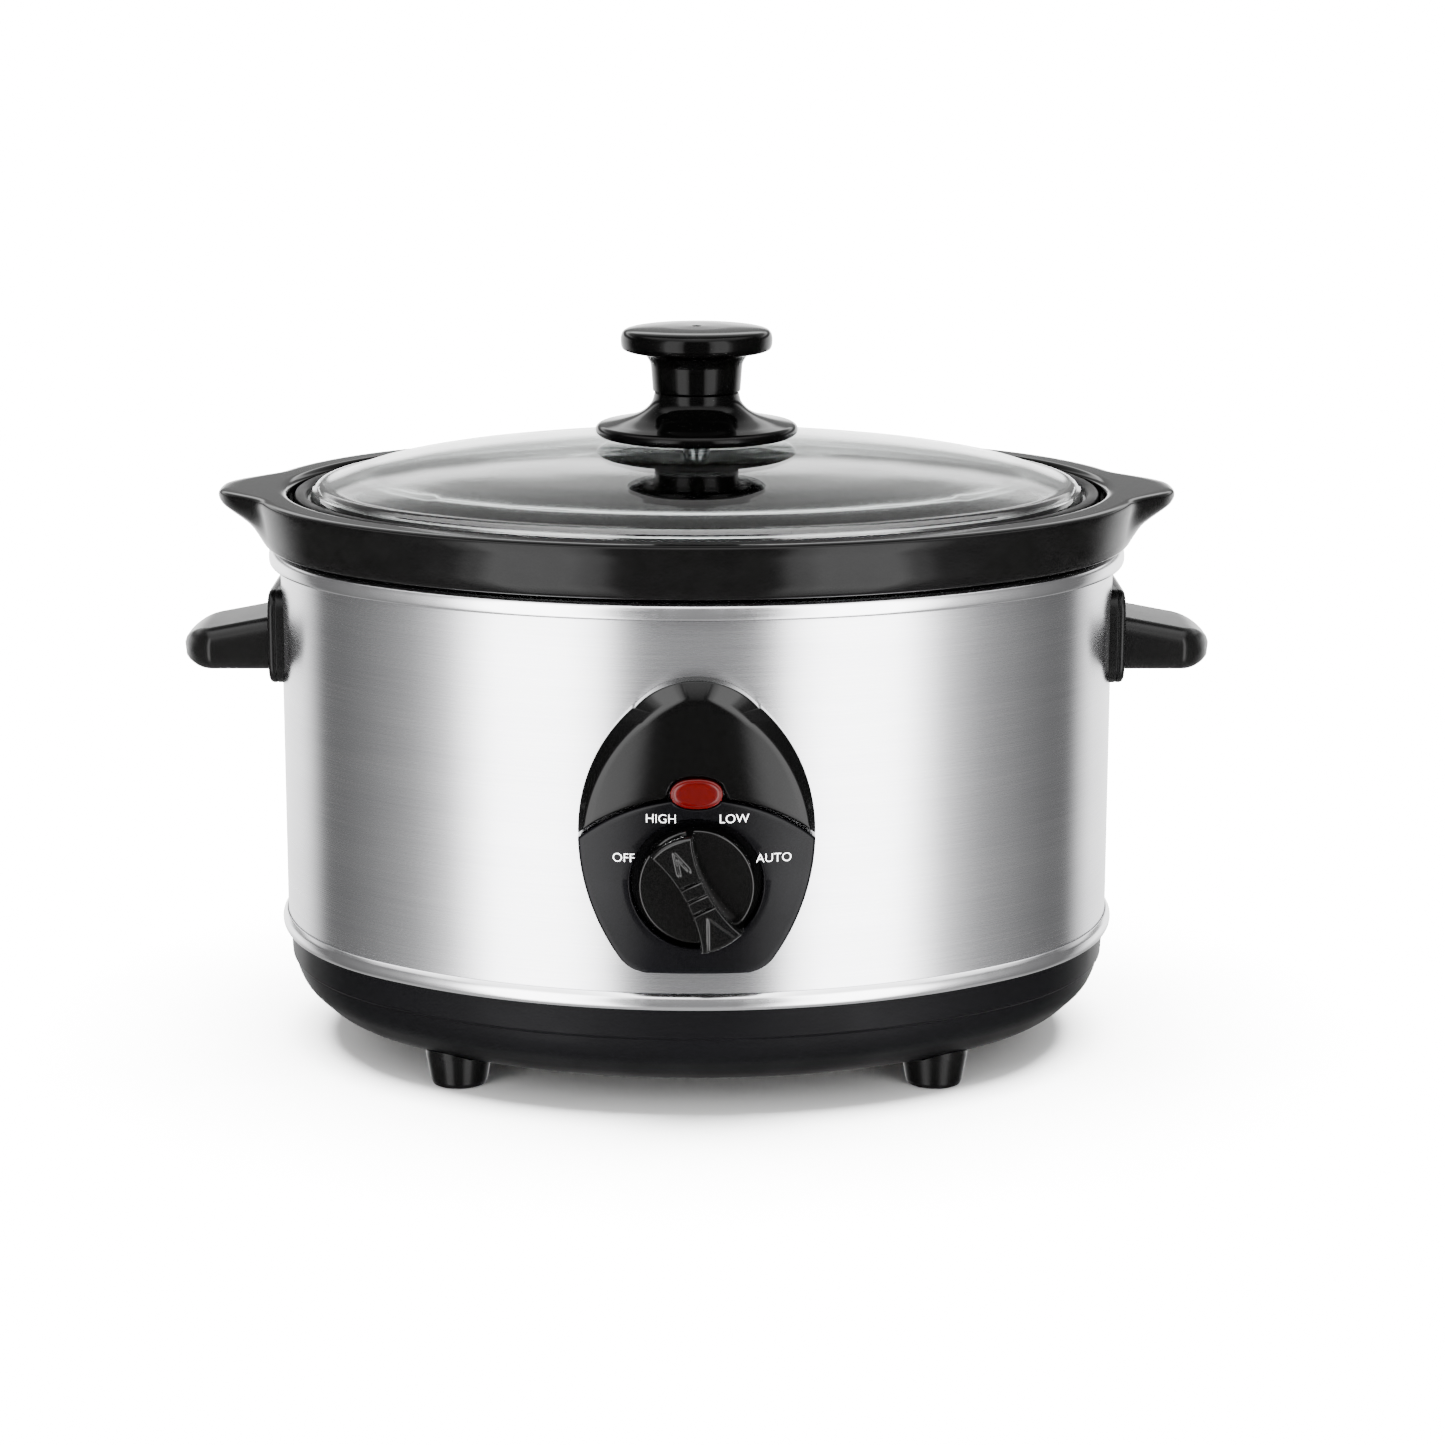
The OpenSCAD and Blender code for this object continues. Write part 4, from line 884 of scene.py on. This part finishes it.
# %% Floor
floor_mesh = bpy.data.meshes.new("studio_floor")
span = 60.0
floor_mesh.from_pydata([(-span, -span, 0), (span, -span, 0), (span, span, 0), (-span, span, 0)],
                       [], [(0, 1, 2, 3)])
floor = bpy.data.objects.new("studio_floor", floor_mesh)
bpy.context.scene.collection.objects.link(floor)
tree, shader, place = finish("floor", "painted board, pale", "#B0B0B0", Roughness=0.9)
shader.inputs["Specular IOR Level"].default_value = 0.0
paint = add(tree, "TexNoise", {"Vector": stretched(tree, place, 60, 60, 60), "Scale": 1.0})
tone = add(tree, "Mix", {"Factor": paint.outputs[0], "A": linear("#B4B4B4"),
                         "B": linear("#AEAEAE")}, data_type="RGBA")
tree.links.new(tone.outputs["Result"], shader.inputs["Base Color"])
floor_mesh.materials.append(FINISHES["floor"])
floor.visible_glossy = False
print("floor", 2 * span, "m across")

# %% Sky with soft boxes
world = bpy.data.worlds.new("studio")
bpy.context.scene.world = world
world.use_nodes = True
tree = world.node_tree
tree.nodes.clear()
axes = add(tree, "SeparateXYZ", {"Vector": add(tree, "TexCoord").outputs["Generated"]})
flip = add(tree, "Math", {0: axes.outputs[1], 1: -1.0}, operation="MULTIPLY")
around = add(tree, "Math", {0: axes.outputs[0], 1: flip.outputs[0]}, operation="ARCTAN2")
share = add(tree, "MapRange", {"Value": around.outputs[0], "From Min": -math.pi,
                               "From Max": math.pi})
ring_light = add(tree, "ValToRGB", {"Fac": share.outputs[0]})
ramp = ring_light.color_ramp
ramp.interpolation = "EASE"
BAND = [(-180, 0.6), (-125, 0.2), (-101, 0.25), (-80, 0.35), (-70, 0.6), (-59, 1.6), (-53, 6),
        (-47, 14), (-30, 14), (-24, 10), (-17, 0.7), (-13, 0.42), (13, 0.42), (17, 0.7), (24, 10),
        (30, 14), (47, 14), (53, 6), (59, 1.6), (70, 0.6), (80, 0.35), (101, 0.25), (125, 0.2),
        (180, 0.6)]
PEAK = 14.0
while len(ramp.elements) < len(BAND):
    ramp.elements.new(0.5)
for stop, (degrees, glow) in zip(ramp.elements, BAND):
    stop.position = (degrees + 180) / 360
    stop.color = (glow / PEAK, glow / PEAK, glow / PEAK, 1.0)
tilt = add(tree, "Math", {0: axes.outputs[2]}, operation="ARCSINE")
above = add(tree, "MapRange", {"Value": tilt.outputs[0], "From Min": math.radians(32),
                               "From Max": math.radians(50)}, interpolation_type="SMOOTHSTEP")
roof = add(tree, "MapRange", {"Value": tilt.outputs[0], "From Min": math.radians(40),
                              "From Max": math.radians(80), "To Min": 0.34, "To Max": 0.66},
           interpolation_type="SMOOTHSTEP")
sky = add(tree, "Mix", {"Factor": above.outputs[0], "A": ring_light.outputs[0],
                        "B": roof.outputs[0]}, data_type="RGBA")
rear = add(tree, "ValToRGB", {"Fac": add(tree, "MapRange", {
    "Value": tilt.outputs[0], "From Min": -math.pi / 2, "From Max": math.pi / 2}).outputs[0]})
ramp = rear.color_ramp
ramp.interpolation = "EASE"
REAR = [(-90, 0.6), (-30, 0.6), (-8, 4), (4, 4), (8.5, 0.6), (14, 0.6), (18, 3.6), (21, 3),
        (25, 1.1), (38, 0.6), (50, 0.4), (74, 0.4), (84, 9), (90, 9)]
while len(ramp.elements) < len(REAR):
    ramp.elements.new(0.5)
for stop, (degrees, glow) in zip(ramp.elements, REAR):
    stop.position = (degrees + 90) / 180
    stop.color = (glow / PEAK, glow / PEAK, glow / PEAK, 1.0)
behind = add(tree, "MapRange", {"Value": add(tree, "Math", {0: around.outputs[0]},
                                             operation="ABSOLUTE").outputs[0],
                                "From Min": math.radians(110), "From Max": math.radians(135)},
             interpolation_type="SMOOTHSTEP")
sky = add(tree, "Mix", {"Factor": behind.outputs[0], "A": sky.outputs["Result"],
                        "B": rear.outputs[0]}, data_type="RGBA")
below = add(tree, "MapRange", {"Value": tilt.outputs[0], "From Min": math.radians(-62),
                               "From Max": math.radians(-34)}, interpolation_type="SMOOTHSTEP")
ground = add(tree, "Mix", {"Factor": below.outputs[0], "A": (0.06, 0.06, 0.06, 1.0),
                           "B": sky.outputs["Result"]}, data_type="RGBA")
glow = add(tree, "Background", {"Color": ground.outputs["Result"], "Strength": PEAK})
add(tree, "OutputWorld", {"Surface": glow.outputs[0]})
print("sky: brightest box is", PEAK, "times a plain white one")

# %% [markdown]
# ## Light for the floor alone
# A pale board under the sky alone would come out grey, and a brighter sky would wash out the
# blacks. So a very soft sun lights only the floor, through light linking. The cooker still
# shades it, which leaves the soft dark patch under the base.

# %% Floor light
sun_data = bpy.data.lights.new("overhead_silk", "SUN")
sun_data.energy = 110.0
sun_data.angle = math.radians(56)
sun = bpy.data.objects.new("overhead_silk", sun_data)
bpy.context.scene.collection.objects.link(sun)
lit = bpy.data.collections.new("lit_by_overhead_silk")
lit.objects.link(floor)
sun.light_linking.receiver_collection = lit
print("studio ready")

# %% [markdown]
# ## Camera
# A long lens stands a little over a metre in front of the panel and looks slightly down, which
# keeps the sides of the cooker upright. A small lens shift frames the object without tilting
# further.

# %% Camera
eye_back, eye_up, look_down = 1191.3, 389.2, 0.20
camera_data = bpy.data.cameras.new("camera")
camera_data.sensor_width = 36.0
camera_data.lens = 86.23
camera_data.shift_x = 0.0179
camera_data.shift_y = -0.0705
camera_data.clip_end = 200.0
camera = bpy.data.objects.new("camera", camera_data)
camera.location = (0.0, -eye_back * MM, eye_up * MM)
camera.rotation_euler = (math.pi / 2 - look_down, 0.0, 0.0)
bpy.context.scene.collection.objects.link(camera)
bpy.context.scene.camera = camera
print(f"camera {eye_back:.0f} mm in front, {eye_up:.0f} mm up")
